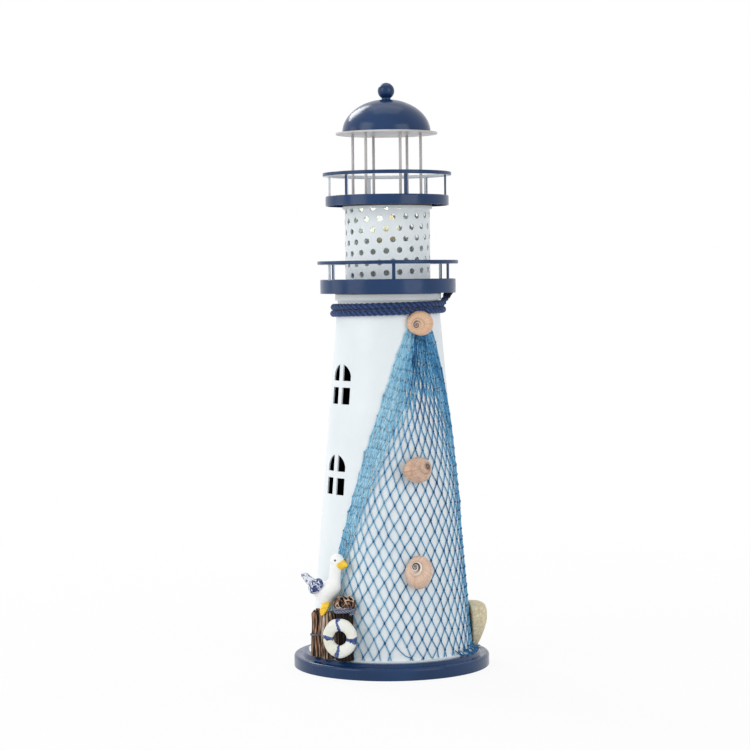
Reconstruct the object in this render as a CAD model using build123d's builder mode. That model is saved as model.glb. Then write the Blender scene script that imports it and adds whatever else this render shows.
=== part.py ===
import os
from math import acos, asin, atan2, ceil, cos, degrees, dist, floor, pi, radians, sin, sqrt

from build123d import *

# A tin lighthouse ornament that holds a tea light behind a pierced lantern drum.
# Millimetres, +Z up. The origin is the middle of the base on the table.
# The front of the ornament looks along -Y, and an azimuth is counted from the
# front towards +X.

# Sheet metal and clearances
tin = 0.8
slip_gap = 0.3
glue_gap = 0.1

# Base pan
base_radius = 52.0
rim_height = 6.2
rim_round = 1.4
hem_width = 2.4
plateau_radius = 46.6
plateau_rise = 1.6
step_run = 1.2
plateau_z = rim_height + plateau_rise

# Tower
tower_height = 196.4
tower_foot_radius = 42.6
tower_top_radius = 25.9
foot_flange = 1.5
tower_top_z = plateau_z + tower_height
flange_z = plateau_z + tin
cone_slope = (tower_foot_radius - tower_top_radius) / tower_height

# Windows, two over each other on the left of the front
window_azimuth = -56.0
window_width = 15.6
window_height = 21.0
window_arch = 6.2
mullion = 3.2
transom = 3.4
window_drop = 53.9
window_spacing = 47.2
upper_window_z = tower_top_z - window_drop
window_heights = (upper_window_z - window_spacing, upper_window_z)

# Lower gallery
lower_deck_radius = 35.9
lower_rim_height = 7.5
lower_post_height = 7.8
lower_turn = -25.0
lower_deck_z = tower_top_z + tin

# Both galleries
post_count = 6
post_width = 1.7
post_depth = 0.8
post_inset = 1.3
deck_round = 0.6
rail_width = 3.4
rail_height = 1.9
rail_overhang = 1.4
rail_round = 0.5

# Neck collar under the lower deck
collar_radius = 28.1
collar_wall = 0.9
collar_drop = 10.3

# Pierced lantern drum
drum_radius = 22.5
drum_height = 43.1
hole_radius = 1.6
hole_count = 20
row_pitch = 5.73
first_row = 3.2
row_climb = 3.3
first_hole = -1.8
hole_margin = 0.3
drum_staves = 8
drum_top_z = lower_deck_z + drum_height

# Lid: upper gallery, its skirt, six rods, the roof
upper_deck_radius = 32.6
upper_rim_height = 5.2
upper_post_height = 10.4
upper_turn = -12.0
upper_deck_z = drum_top_z + tin
skirt_wall = 0.9
skirt_height = 6.2
rod_count = 6
rod_radius = 0.75
rod_circle = 18.1
rod_turn = -7.0
rod_length = 32.4
roof_plate_radius = 26.9
roof_plate_z = upper_deck_z + rod_length
roof_z = roof_plate_z + tin
dome_radius = 23.4
dome_height = 17.6
finial_radius = 4.4
finial_neck = 2.4
finial_stud = 1.5
stud_head = 2.6
finial_z = roof_z + dome_height + finial_radius

# Tea light on the lower deck
cup_radius = 18.7
cup_height = 20.0
cup_wall = 1.2
cup_dish = 1.5
cup_round = 0.5
flame_base = 4.6
flame_bulge = 6.4
flame_height = 20.0
flame_wall = 1.0
led_radius = 2.5
led_height = 8.6
led_lead = 0.6
led_pitch = 2.54
base_lift = 1.2
base_thick = 1.5
door_radius = 11.5
cell_radius = 10.0
cell_thick = 3.2
knob_travel = 3.0
knob_length = 2.6
knob_width = 2.8
knob_flange = 0.8
knob_lip = 1.0
knob_radius = 14.5

# Rope round the neck
rope_radius = 1.55
rope_gap = 0.3
rope_drop = 16.4
rope_start = 130.0
rope_end = 798.0
rope_step = 45.0
tail_turn = 11.0
tail_rise = 4.6
tail_out = 2.9
rope_sides = 8
rope_front_z = tower_top_z - rope_drop

# Fishing net round the front and right of the tower
net_thick = 0.7
net_drop = 21.2
net_gather = 27.0
net_left_top = 24.0
net_left_foot = -70.0
net_right_top = 48.0
net_right_foot = 124.0
net_columns = 14
net_rows = 22
net_strand = 1.1
net_top_z = tower_top_z - net_drop
net_open_z = net_top_z - net_gather
net_foot_z = flange_z + glue_gap
net_seat = net_thick + 2 * glue_gap

# Sea shells on the net, each coiled about its own axis
shell_sides = 10
shell_step = 30
shell_sections = 3
shell_turns = 2
shell_growth = 3.0
shell_close = 90
lip_share = 0.95
shell_tube = 0.48
shell_sink = 0.85
shell_spire = 0.45
top_shell_azimuth = 33.5
top_shell_drop = 6.2
top_shell_size = 13.4
top_shell_mouth = 10.0
middle_shell_azimuth = 24.0
middle_shell_lift = 97.5
middle_shell_size = 16.4
middle_shell_mouth = 155.0
bottom_shell_azimuth = 21.0
bottom_shell_lift = 45.5
bottom_shell_size = 18.4
bottom_shell_mouth = -84.0
top_shell_z = rope_front_z - top_shell_drop
middle_shell_z = net_foot_z + middle_shell_lift
bottom_shell_z = net_foot_z + bottom_shell_lift

# Cockle leaning on the right of the tower
cockle_azimuth = 97.0
cockle_height = 25.2
cockle_width = 24.0
cockle_depth = 9.4
cockle_hinge = 0.1
cockle_crown = 0.65
cockle_blunt = 24
cockle_least = 0.06
cockle_slices = 6

# Mooring piles at the left of the front
pile_circle = 44.6
pile_lobes = 9
left_pile_azimuth = -58.3
left_pile_radius = 3.8
left_pile_height = 25.0
middle_pile_azimuth = -46.6
middle_pile_radius = 4.2
middle_pile_height = 24.8
right_pile_azimuth = -32.6
right_pile_radius = 4.9
right_pile_height = 32.9
band_thick = 0.7
band_height = 2.4
left_band_lift = 11.4
right_band_drop = 5.9
left_band_z = flange_z + left_band_lift
right_band_z = flange_z + right_pile_height - right_band_drop

# Life ring
ring_azimuth = -12.0
ring_lift = 12.8
ring_outer = 10.2
ring_bore = 3.6
ring_thick = 4.2
ring_oval = 0.88
ring_z = flange_z + ring_lift

# Gull; its slices are in shares of its length
gull_azimuth = -47.6
gull_circle = 47.2
gull_length = 26.0
gull_stand = 11.6
gull_heading = 20.0
gull_leg = 1.6
gull_leg_side = -2.0
gull_foot_thick = 1.1
gull_foot_length = 6.8
gull_foot_width = 4.2
gull_foot_lean = -26.0


def tower_radius(height):
    """Outer radius of the tower's cone at a height above the table."""
    return tower_foot_radius - cone_slope * (height - plateau_z)


def around(azimuth, radius, height):
    """Point at an azimuth from the front, a radius from the axis and a height."""
    turn = radians(azimuth)
    return Vector(radius * sin(turn), -radius * cos(turn), height)


def facing(azimuth, radius, height):
    """Plane at such a point that looks away from the axis, with its Y axis up."""
    turn = radians(azimuth)
    return Plane(
        origin=around(azimuth, radius, height),
        x_dir=(cos(turn), sin(turn), 0),
        z_dir=(sin(turn), -cos(turn), 0),
    )


def export(piece, name):
    """Label a finished piece and write it out under its name."""
    piece.part.label = name
    export_step(piece.part, f"parts/{name}.step")


os.makedirs("parts", exist_ok=True)


# Base pan, stamped, with a raised plateau and a turned-in hem
with BuildPart() as base_pan:
    with BuildSketch(Plane.XZ) as base_profile:
        with BuildLine():
            Polyline(
                (0, plateau_z),
                (plateau_radius, plateau_z),
                (plateau_radius + step_run, rim_height),
                (base_radius, rim_height),
                (base_radius, 0),
                (base_radius - hem_width, 0),
                (base_radius - hem_width, tin),
                (base_radius - tin, tin),
                (base_radius - tin, rim_height - tin),
                (plateau_radius + step_run - tin / 2, rim_height - tin),
                (plateau_radius - tin / 2, plateau_z - tin),
                (0, plateau_z - tin),
                close=True,
            )
        make_face()
        rim_corner = base_profile.vertices().group_by(Axis.X)[-1].sort_by(Axis.Y)[-1]
        fillet(rim_corner, rim_round)
    revolve(axis=Axis.Z)
export(base_pan, "base_pan")


# Tower, a rolled cone with a foot flange and two four-pane windows
def window_sketch():
    """One window: an arched opening split by a mullion and a transom."""
    arch_z = window_height / 2 - window_arch
    with BuildSketch() as window:
        with BuildLine():
            Polyline(
                (window_width / 2, arch_z),
                (window_width / 2, -window_height / 2),
                (-window_width / 2, -window_height / 2),
                (-window_width / 2, arch_z),
            )
            ThreePointArc(
                (-window_width / 2, arch_z),
                (0, window_height / 2),
                (window_width / 2, arch_z),
            )
        make_face()
        Rectangle(mullion, window_height, mode=Mode.SUBTRACT)
        Rectangle(window_width, transom, mode=Mode.SUBTRACT)
    return window.sketch


with BuildPart() as tower_shell:
    with BuildSketch(Plane.XZ):
        with BuildLine():
            Polyline(
                (tower_foot_radius - tin, plateau_z),
                (tower_foot_radius + foot_flange, plateau_z),
                (tower_foot_radius + foot_flange, flange_z),
                (tower_radius(flange_z), flange_z),
                (tower_top_radius, tower_top_z),
                (tower_top_radius - tin, tower_top_z),
                close=True,
            )
        make_face()
    revolve(axis=Axis.Z)
    window_planes = [facing(window_azimuth, tower_radius(z), z) for z in window_heights]
    with BuildSketch(*window_planes):
        add(window_sketch())
    extrude(amount=window_width, both=True, mode=Mode.SUBTRACT)
export(tower_shell, "tower_shell")


# Deck of a gallery, a stamped pan turned over
def deck_profile(radius, top_z, height):
    """Half section of an upside-down pan."""
    with BuildSketch(Plane.XZ) as profile:
        with BuildLine():
            Polyline(
                (0, top_z),
                (radius, top_z),
                (radius, top_z - height),
                (radius - tin, top_z - height),
                (radius - tin, top_z - tin),
                (0, top_z - tin),
                close=True,
            )
        make_face()
        fillet(profile.vertices().group_by(Axis.X)[-1].sort_by(Axis.Y)[-1], deck_round)
    return profile.sketch


def ring_profile(inner, outer, low, high):
    """Half section of a plain ring."""
    with BuildSketch(Plane.XZ) as profile:
        with BuildLine():
            Polyline((inner, low), (outer, low), (outer, high), (inner, high), close=True)
        make_face()
    return profile.sketch


def rail_profile(deck_radius, low):
    """Half section of a rail, a flat ring with rounded edges."""
    with BuildSketch(Plane.XZ) as profile:
        with Locations((deck_radius + rail_overhang - rail_width / 2, low + rail_height / 2)):
            Rectangle(rail_width, rail_height)
        fillet(profile.vertices(), rail_round)
    return profile.sketch


with BuildPart() as lower_deck:
    revolve(deck_profile(lower_deck_radius, lower_deck_z, lower_rim_height), Axis.Z)
export(lower_deck, "lower_deck")

with BuildPart() as neck_collar:
    collar_bore = collar_radius - collar_wall
    revolve(ring_profile(collar_bore, collar_radius, tower_top_z - collar_drop, tower_top_z), Axis.Z)
export(neck_collar, "neck_collar")

with BuildPart(Plane.XY.offset(lower_deck_z)) as lower_posts:
    with PolarLocations(lower_deck_radius - post_inset, post_count, start_angle=lower_turn):
        Box(post_depth, post_width, lower_post_height, align=(Align.CENTER, Align.CENTER, Align.MIN))
export(lower_posts, "lower_posts")

with BuildPart() as lower_rail:
    revolve(rail_profile(lower_deck_radius, lower_deck_z + lower_post_height), Axis.Z)
export(lower_rail, "lower_rail")


# Lantern drum of pierced sheet, rolled slightly askew so that its rows climb
def drum_holes():
    """Planes of the holes: staggered rows that climb round the drum."""
    pitch = 360 / hole_count
    low = lower_deck_z + hole_radius + hole_margin
    high = drum_top_z - hole_radius - hole_margin
    climb_per_degree = radians(drum_radius) * sin(radians(row_climb))
    spread = ceil(180 * climb_per_degree / row_pitch)
    rows = floor(drum_height / row_pitch)
    planes = []
    for row in range(-spread, rows + spread + 1):
        for hole in range(hole_count):
            azimuth = first_hole + (hole + (row % 2) / 2) * pitch
            azimuth = (azimuth + 180) % 360 - 180
            height = lower_deck_z + first_row + row * row_pitch + azimuth * climb_per_degree
            if low < height < high:
                planes.append(facing(azimuth, drum_radius + tin, height))
    return planes


with BuildPart() as lantern_drum:
    revolve(ring_profile(drum_radius - tin, drum_radius, lower_deck_z, drum_top_z), Axis.Z)
    with BuildSketch(*drum_holes()):
        RegularPolygon(hole_radius, 8)
    extrude(amount=-3 * tin, mode=Mode.SUBTRACT)
    # The sheet is cut into staves that touch, so that each collision piece stays in its wall
    for stave in range(drum_staves // 2):
        split(bisect_by=Plane.XZ.rotated((0, 0, 360 / drum_staves * stave)), keep=Keep.BOTH)
export(lantern_drum, "lantern_drum")


# Lid
with BuildPart() as upper_deck:
    revolve(deck_profile(upper_deck_radius, upper_deck_z, upper_rim_height), Axis.Z)
export(upper_deck, "upper_deck")

skirt_bore = drum_radius + slip_gap
with BuildPart() as lid_skirt:
    skirt_radius = skirt_bore + skirt_wall
    revolve(ring_profile(skirt_bore, skirt_radius, drum_top_z - skirt_height, drum_top_z), Axis.Z)
export(lid_skirt, "lid_skirt")

with BuildPart(Plane.XY.offset(upper_deck_z)) as upper_posts:
    with PolarLocations(upper_deck_radius - post_inset, post_count, start_angle=upper_turn):
        Box(post_depth, post_width, upper_post_height, align=(Align.CENTER, Align.CENTER, Align.MIN))
export(upper_posts, "upper_posts")

with BuildPart() as upper_rail:
    revolve(rail_profile(upper_deck_radius, upper_deck_z + upper_post_height), Axis.Z)
export(upper_rail, "upper_rail")

with BuildPart(Plane.XY.offset(upper_deck_z)) as roof_rods:
    with PolarLocations(rod_circle, rod_count, start_angle=rod_turn):
        Cylinder(rod_radius, rod_length, align=(Align.CENTER, Align.CENTER, Align.MIN))
export(roof_rods, "roof_rods")

with BuildPart(Plane.XY.offset(roof_plate_z)) as roof_plate:
    Cylinder(roof_plate_radius, tin, align=(Align.CENTER, Align.CENTER, Align.MIN))
export(roof_plate, "roof_plate")

with BuildPart() as roof_dome:
    with BuildSketch(Plane.XZ):
        with BuildLine():
            outer = EllipticalCenterArc((0, roof_z), dome_radius, dome_height, arc_size=90)
            inner = EllipticalCenterArc(
                (0, roof_z), dome_radius - tin, dome_height - tin, arc_size=90
            )
            Line(outer @ 0, inner @ 0)
            Line(outer @ 1, inner @ 1)
        make_face()
    revolve(axis=Axis.Z)
    Cylinder(finial_stud + glue_gap, 2 * finial_z, mode=Mode.SUBTRACT)
export(roof_dome, "roof_dome")

# Finial ball on a stud that is peened inside the dome
dome_top_z = roof_z + dome_height
with BuildPart() as finial_ball:
    with BuildSketch(Plane.XZ):
        with BuildLine():
            neck_z = finial_z - sqrt(finial_radius**2 - finial_neck**2)
            Polyline(
                (finial_neck, neck_z),
                (finial_neck, dome_top_z),
                (finial_stud, dome_top_z),
                (finial_stud, dome_top_z - tin - slip_gap),
                (stud_head, dome_top_z - tin - slip_gap),
                (stud_head, dome_top_z - 2 * tin),
                (0, dome_top_z - 2 * tin),
                (0, finial_z + finial_radius),
            )
            ThreePointArc(
                (0, finial_z + finial_radius),
                (finial_radius, finial_z),
                (finial_neck, neck_z),
            )
        make_face()
    revolve(axis=Axis.Z)
export(finial_ball, "finial_ball")


# Tea light: cup, bottom plate, door, coin cell, lamp, flame lens and slide knob
dish_z = lower_deck_z + cup_height - cup_dish
plate_z = lower_deck_z + base_lift
plate_top_z = plate_z + base_thick
cup_bore = cup_radius - cup_wall
with BuildPart() as tealight_cup:
    with BuildSketch(Plane.XZ) as cup_profile:
        with BuildLine():
            Polyline(
                (cup_radius, lower_deck_z),
                (cup_radius, lower_deck_z + cup_height),
                (cup_bore, lower_deck_z + cup_height),
                (cup_bore - cup_dish, dish_z),
                (led_radius + glue_gap, dish_z),
                (led_radius + glue_gap, dish_z - cup_wall),
                (cup_bore, dish_z - cup_wall),
                (cup_bore, lower_deck_z),
                close=True,
            )
        make_face()
        fillet(cup_profile.vertices().group_by(Axis.Y)[-1], cup_round)
    revolve(axis=Axis.Z)
export(tealight_cup, "tealight_cup")

slot_length = knob_length + knob_travel + 2 * slip_gap
slot_width = knob_width + 2 * slip_gap
with BuildPart(Plane.XY.offset(plate_z)) as tealight_plate:
    Cylinder(cup_bore - glue_gap, base_thick, align=(Align.CENTER, Align.CENTER, Align.MIN))
    Hole(door_radius + glue_gap)
    with BuildSketch(Plane.XY.offset(plate_z)):
        with Locations((0, -knob_radius)):
            Rectangle(slot_length, slot_width)
    extrude(amount=base_thick, mode=Mode.SUBTRACT)
export(tealight_plate, "tealight_plate")

with BuildPart(Plane.XY.offset(plate_z)) as battery_door:
    Cylinder(door_radius, base_thick, align=(Align.CENTER, Align.CENTER, Align.MIN))
    with BuildSketch(Plane.XY.offset(plate_z)):
        Rectangle(door_radius, cup_wall)
    extrude(amount=base_thick / 2, mode=Mode.SUBTRACT)
export(battery_door, "battery_door")

with BuildPart(Plane.XY.offset(plate_top_z)) as coin_cell:
    Cylinder(cell_radius, cell_thick, align=(Align.CENTER, Align.CENTER, Align.MIN))
    chamfer(coin_cell.edges().group_by(Axis.Z)[-1], glue_gap * 3)
export(coin_cell, "coin_cell")

# The lamp stands in the dish with its two leads on the coin cell
lamp_z = dish_z - cup_wall
with BuildPart() as lamp:
    with BuildSketch(Plane.XZ):
        with BuildLine():
            dome_z = lamp_z + led_height - led_radius
            Polyline((0, dome_z + led_radius), (0, lamp_z), (led_radius, lamp_z), (led_radius, dome_z))
            RadiusArc((led_radius, dome_z), (0, dome_z + led_radius), -led_radius)
        make_face()
    revolve(axis=Axis.Z)
    lead_length = lamp_z - plate_top_z - cell_thick
    with Locations((-led_pitch / 2, 0, lamp_z), (led_pitch / 2, 0, lamp_z)):
        Box(led_lead, led_lead, lead_length, align=(Align.CENTER, Align.CENTER, Align.MAX))
export(lamp, "lamp")

with BuildPart() as flame_lens:
    with BuildSketch(Plane.XZ):
        with BuildLine():
            bulge_z = dish_z + flame_bulge
            tip_z = dish_z + flame_height
            waist_z = (bulge_z + 2 * tip_z) / 3
            outer_low = ThreePointArc(
                (flame_base, dish_z),
                ((flame_base + flame_bulge) / 2 + flame_wall / 2, (dish_z + bulge_z) / 2),
                (flame_bulge, bulge_z),
            )
            outer_high = TangentArc((flame_bulge, bulge_z), (flame_wall * 2, waist_z), tangent=(0, 1))
            Line((flame_wall * 2, waist_z), (0, tip_z))
            Line((0, tip_z), (0, waist_z - 2 * flame_wall))
            inner_high = Line((0, waist_z - 2 * flame_wall), (flame_bulge - flame_wall, bulge_z))
            inner_low = Line(inner_high @ 1, (flame_base - flame_wall, dish_z))
            Line(inner_low @ 1, outer_low @ 0)
        make_face()
    revolve(axis=Axis.Z)
export(flame_lens, "flame_lens")

with BuildPart() as slide_knob:
    with Locations((-knob_travel / 2, -knob_radius, plate_top_z)):
        Box(
            knob_length + 2 * knob_lip,
            knob_width + 2 * knob_lip,
            knob_flange,
            align=(Align.CENTER, Align.CENTER, Align.MIN),
        )
        Box(
            knob_length,
            knob_width,
            base_thick + base_lift / 2,
            align=(Align.CENTER, Align.CENTER, Align.MAX),
        )
export(slide_knob, "slide_knob")


# Rope: one tube wound twice round the neck, its cut end standing up at the right
rope_pitch = 2 * rope_radius + rope_gap


def rope_point(turn):
    """Point of the rope's middle line at a running turn in degrees."""
    height = rope_front_z + rope_pitch * (turn / 360 - 1)
    return around(turn, tower_radius(height - rope_radius) + rope_radius + slip_gap, height)


def rope_direction(turn):
    """Direction of the winding at a running turn."""
    return (rope_point(turn + 1) - rope_point(turn - 1)).normalized()


def biarc(start, start_way, end, end_way):
    """Two tangent arcs from a point and direction to another."""
    span = end - start
    ways = start_way + end_way
    spread = 2 * (1 - start_way.dot(end_way))
    reach = (-span.dot(ways) + sqrt(span.dot(ways) ** 2 + spread * span.dot(span))) / spread
    first = start + start_way * reach
    second = end - end_way * reach
    middle = (first + second) * 0.5
    return [
        TangentArc(start, middle, tangent=start_way),
        TangentArc(middle, end, tangent=second - first),
    ]


def rope_gap_to_itself(path):
    """Least gap between the rope's turns, on points along its middle line."""
    count = 600
    points = [tuple(path @ (step / count)) for step in range(count + 1)]
    apart = ceil(count * 6 * rope_radius / path.length)
    return min(
        dist(points[i], points[j])
        for i in range(count + 1)
        for j in range(i + apart, count + 1)
    ) - 2 * rope_radius


with BuildPart() as neck_rope:
    with BuildLine() as rope_path:
        turns = ceil((rope_end - rope_start) / rope_step)
        stops = [rope_start + (rope_end - rope_start) * i / turns for i in range(turns + 1)]
        lead_in = rope_direction(stops[0])
        Line(rope_point(stops[0]) - lead_in * 2 * rope_radius, rope_point(stops[0]))
        for here, there in zip(stops, stops[1:]):
            biarc(rope_point(here), rope_direction(here), rope_point(there), rope_direction(there))
        tail_foot = rope_point(stops[-1])
        tail_z = tail_foot.Z + tail_rise
        tail_top = around(
            stops[-1] + tail_turn, tower_radius(tail_foot.Z) + rope_radius + tail_out, tail_z
        )
        tail_way = (around(stops[-1] + tail_turn, 1, 0) + Vector(0, 0, 2)).normalized()
        biarc(tail_foot, rope_direction(stops[-1]), tail_top, tail_way)
        Line(tail_top, tail_top + tail_way * 2 * rope_radius)
    rope_wire = rope_path.wire()
    with BuildSketch(Plane(origin=rope_wire @ 0, z_dir=rope_wire % 0)):
        RegularPolygon(rope_radius, rope_sides)
    sweep(path=rope_wire)
export(neck_rope, "neck_rope")
print("rope: least gap to itself", round(rope_gap_to_itself(rope_wire), 2), "mm")


# Net: a conical sheet round the tower, holed with diamonds that widen downwards
def net_bore(height):
    """Inner radius of the net at a height."""
    return tower_radius(height) + glue_gap


def net_fall(height):
    """Share of the net's drop at a height, 0 at its top and 1 at its foot."""
    return (net_top_z - height) / (net_top_z - net_foot_z)


def net_left(height):
    """Left edge of the net, which is straight as seen from the front: its X."""
    top = net_bore(net_top_z) * sin(radians(net_left_top))
    foot = net_bore(net_foot_z) * sin(radians(net_left_foot))
    return top + (foot - top) * net_fall(height)


def net_right(height):
    """Right edge of the net, which is straight as seen from the right: its Y."""
    top = -net_bore(net_top_z) * cos(radians(net_right_top))
    foot = -net_bore(net_foot_z) * cos(radians(net_right_foot))
    return top + (foot - top) * net_fall(height)


def net_azimuth(share, height):
    """Azimuth at a share of the net's width, counted from its left edge."""
    left = degrees(asin(net_left(height) / net_bore(height)))
    right = degrees(acos(-net_right(height) / net_bore(height)))
    return left + (right - left) * share


def net_gap(share, height, half_height):
    """Plane and corners of one diamond gap, inset by half a strand."""
    half_share = 0.5 / net_columns
    middle = net_azimuth(share, height)
    corners = []
    for side, rise in ((0, 1), (1, 0), (0, -1), (-1, 0)):
        corner_z = height + rise * half_height
        turn = radians(net_azimuth(share + side * half_share, corner_z) - middle)
        corners.append(Vector(net_bore(corner_z) * sin(turn), rise * half_height))
    half_width = (corners[1].X - corners[3].X) / 2
    inset = net_strand / 2 * sqrt(half_width**2 + half_height**2) / (half_width * half_height)
    middle_point = (corners[1] + corners[3]) * 0.5
    corners = [middle_point + (corner - middle_point) * (1 - inset) for corner in corners]
    return facing(middle, net_bore(height) + 2 * net_thick, height), corners


def net_gaps():
    """Every gap of the net, in staggered rows, where a column is wide enough."""
    half_height = (net_open_z - net_foot_z) / (net_rows + 1)
    for row in range(net_rows):
        height = net_open_z - half_height * (row + 1)
        shift = 0.5 if row % 2 else 1.0
        for column in range(net_columns - 1 + row % 2):
            plane, corners = net_gap((column + shift) / net_columns, height, half_height)
            if corners[1].X - corners[3].X > net_strand:
                yield plane, corners


with BuildPart() as fishing_net:
    with BuildSketch(Plane.XZ):
        with BuildLine():
            Polyline(
                (net_bore(net_top_z), net_top_z),
                (net_bore(net_top_z) + net_thick, net_top_z),
                (net_bore(net_foot_z) + net_thick, net_foot_z),
                (net_bore(net_foot_z), net_foot_z),
                close=True,
            )
        make_face()
    revolve(axis=Axis.Z)
    with BuildSketch(Plane.XZ):
        with BuildLine():
            Polyline(
                (net_left(net_top_z), net_top_z),
                (base_radius, net_top_z),
                (base_radius, net_foot_z),
                (net_left(net_foot_z), net_foot_z),
                close=True,
            )
        make_face()
    extrude(amount=base_radius, both=True, mode=Mode.INTERSECT)
    with BuildSketch(Plane.YZ):
        with BuildLine():
            Polyline(
                (-base_radius, net_top_z),
                (net_right(net_top_z), net_top_z),
                (net_right(net_foot_z), net_foot_z),
                (-base_radius, net_foot_z),
                close=True,
            )
        make_face()
    extrude(amount=base_radius, both=True, mode=Mode.INTERSECT)
    # Behind on the left both edges' planes cut the cone again, where no net hangs
    with Locations((-base_radius / 2, base_radius / 2, net_top_z / 2)):
        Box(base_radius, base_radius, net_top_z, mode=Mode.SUBTRACT)
    gap_count = 0
    for gap_plane, gap_corners in net_gaps():
        gap_count += 1
        with BuildSketch(gap_plane):
            with BuildLine():
                Polyline(*gap_corners, close=True)
            make_face()
    extrude(amount=-4 * net_thick, mode=Mode.SUBTRACT)
export(fishing_net, "fishing_net")
print("net:", gap_count, "gaps")


# What the glued ornaments are seated on: the tower's cone with the net over it
with BuildPart() as ornament_seat:
    with BuildSketch(Plane.XZ):
        with BuildLine():
            Polyline(
                (0, 0),
                (tower_radius(0) + net_seat, 0),
                (tower_radius(tower_top_z) + net_seat, tower_top_z),
                (0, tower_top_z),
                close=True,
            )
        make_face()
    revolve(axis=Axis.Z)
    with BuildSketch(Plane.XZ):
        rope_reach = 2 * (rope_radius + slip_gap)
        with Locations((tower_radius(rope_front_z) / 2 + rope_reach / 2, rope_front_z)):
            Rectangle(tower_radius(rope_front_z) + rope_reach, 2 * rope_radius + 2 * slip_gap)
    revolve(axis=Axis.Z)


def leaning(azimuth, height):
    """Plane on the net that looks away from the tower's sloping wall."""
    turn = radians(azimuth)
    lean = atan2(cone_slope, 1)
    return Plane(
        origin=around(azimuth, tower_radius(height) + net_seat, height),
        x_dir=(cos(turn), sin(turn), 0),
        z_dir=(sin(turn) * cos(lean), -cos(turn) * cos(lean), sin(lean)),
    )


def local_plane(frame, origin, x_dir, z_dir):
    """Plane given in the coordinates of another plane."""
    return Plane(
        origin=frame.from_local_coords(origin),
        x_dir=frame.from_local_coords(x_dir) - frame.origin,
        z_dir=frame.from_local_coords(z_dir) - frame.origin,
    )


# Sea shells: a growing tube coiled about the shell's axis, as a moon snail grows
def whorl_growth(turn):
    """Share of the tube's full size at a turn before its mouth; past it the lip closes in."""
    if turn >= 0:
        return shell_growth ** (-turn / 360)
    whorl_before = shell_growth ** ((shell_close - 360) / 360)
    return 1 + (lip_share * whorl_before - 1) * -turn / shell_close


def whorl_section(frame, size, mouth, turn):
    """Section of the coiled tube at a turn in degrees before its mouth."""
    growth = whorl_growth(turn)
    reach = size / (1 + shell_growth**-0.5)
    ring = reach * (1 - shell_tube) * growth
    tube = reach * shell_tube * growth
    height = reach * shell_tube * shell_sink + shell_spire * reach * (1 - growth)
    way = radians(mouth - turn)
    plane = local_plane(
        frame,
        (ring * cos(way), ring * sin(way), height),
        (cos(way), sin(way), 0),
        (-sin(way), cos(way), 0),
    )
    with BuildSketch(plane) as section:
        RegularPolygon(tube, shell_sides)
    return section.sketch


def sea_shell(frame, size, mouth):
    """A moon-snail shell glued to the net with its spire outwards."""
    span = shell_step * shell_sections
    with BuildPart() as shell:
        for start in range(-shell_close, 360 * shell_turns, span):
            turns = [start + shell_step * i for i in range(shell_sections + 1)]
            loft([whorl_section(frame, size, mouth, turn) for turn in turns], ruled=True)
        add(ornament_seat.part, mode=Mode.SUBTRACT)
    return shell


shell_top = sea_shell(leaning(top_shell_azimuth, top_shell_z), top_shell_size, top_shell_mouth)
export(shell_top, "shell_top")
shell_middle = sea_shell(
    leaning(middle_shell_azimuth, middle_shell_z), middle_shell_size, middle_shell_mouth
)
export(shell_middle, "shell_middle")
shell_bottom = sea_shell(
    leaning(bottom_shell_azimuth, bottom_shell_z), bottom_shell_size, bottom_shell_mouth
)
export(shell_bottom, "shell_bottom")


# Cockle: a ribbed half shell, hinge down, its back against the tower
def cockle_section(frame, share):
    """Bowed slice of the cockle at a share of its height."""
    swell = sin(pi * (cockle_hinge + (cockle_crown - cockle_hinge) * share))
    swell = max(swell * sqrt(1 - share**cockle_blunt), cockle_least)
    width = cockle_width * swell
    depth = cockle_depth * swell
    plane = local_plane(frame, (0, cockle_height * share, 0), (1, 0, 0), (0, 1, 0))
    with BuildSketch(plane) as section:
        with BuildLine():
            ThreePointArc((-width / 2, 0), (0, -depth), (width / 2, 0))
            Line((width / 2, 0), (-width / 2, 0))
        make_face()
    return section.sketch


cockle_frame = leaning(cockle_azimuth, flange_z + glue_gap)
with BuildPart() as cockle:
    shares = [sin(pi / 2 * i / cockle_slices) for i in range(cockle_slices + 1)]
    loft([cockle_section(cockle_frame, share) for share in shares])
export(cockle, "cockle")


# Mooring piles: fluted logs that stand on the tower's foot flange
def pile(azimuth, radius, height):
    """One log with bark flutes, its back cut to the tower."""
    lobe = pi * radius / pile_lobes
    with BuildPart() as log:
        with BuildSketch(Plane(around(azimuth, pile_circle, flange_z))):
            Circle(radius - lobe)
            with PolarLocations(radius - lobe, pile_lobes):
                Circle(lobe)
        extrude(amount=height)
        add(ornament_seat.part, mode=Mode.SUBTRACT)
    return log


def pile_band(azimuth, radius, middle_z):
    """A band round a log, open where the tower stands."""
    bore = radius + glue_gap
    with BuildPart() as band:
        with BuildSketch(Plane(around(azimuth, pile_circle, middle_z))):
            Circle(bore + band_thick)
            Circle(bore, mode=Mode.SUBTRACT)
        extrude(amount=band_height / 2, both=True)
        add(ornament_seat.part, mode=Mode.SUBTRACT)
    return band


pile_left = pile(left_pile_azimuth, left_pile_radius, left_pile_height)
export(pile_left, "pile_left")
pile_middle = pile(middle_pile_azimuth, middle_pile_radius, middle_pile_height)
export(pile_middle, "pile_middle")
pile_right = pile(right_pile_azimuth, right_pile_radius, right_pile_height)
export(pile_right, "pile_right")
band_left = pile_band(left_pile_azimuth, left_pile_radius, left_band_z)
export(band_left, "band_left")
band_right = pile_band(right_pile_azimuth, right_pile_radius, right_band_z)
export(band_right, "band_right")


# Life ring on the right pile, a little taller than wide, turned to the front
ring_tube = (ring_outer - ring_bore) / 2
with BuildPart() as ring_form:
    with BuildSketch(Plane.XZ):
        with Locations((ring_bore + ring_tube, 0)):
            Ellipse(ring_tube, ring_thick / 2)
    revolve(axis=Axis.Z)
    scale(by=(ring_oval, 1, 1))

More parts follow.
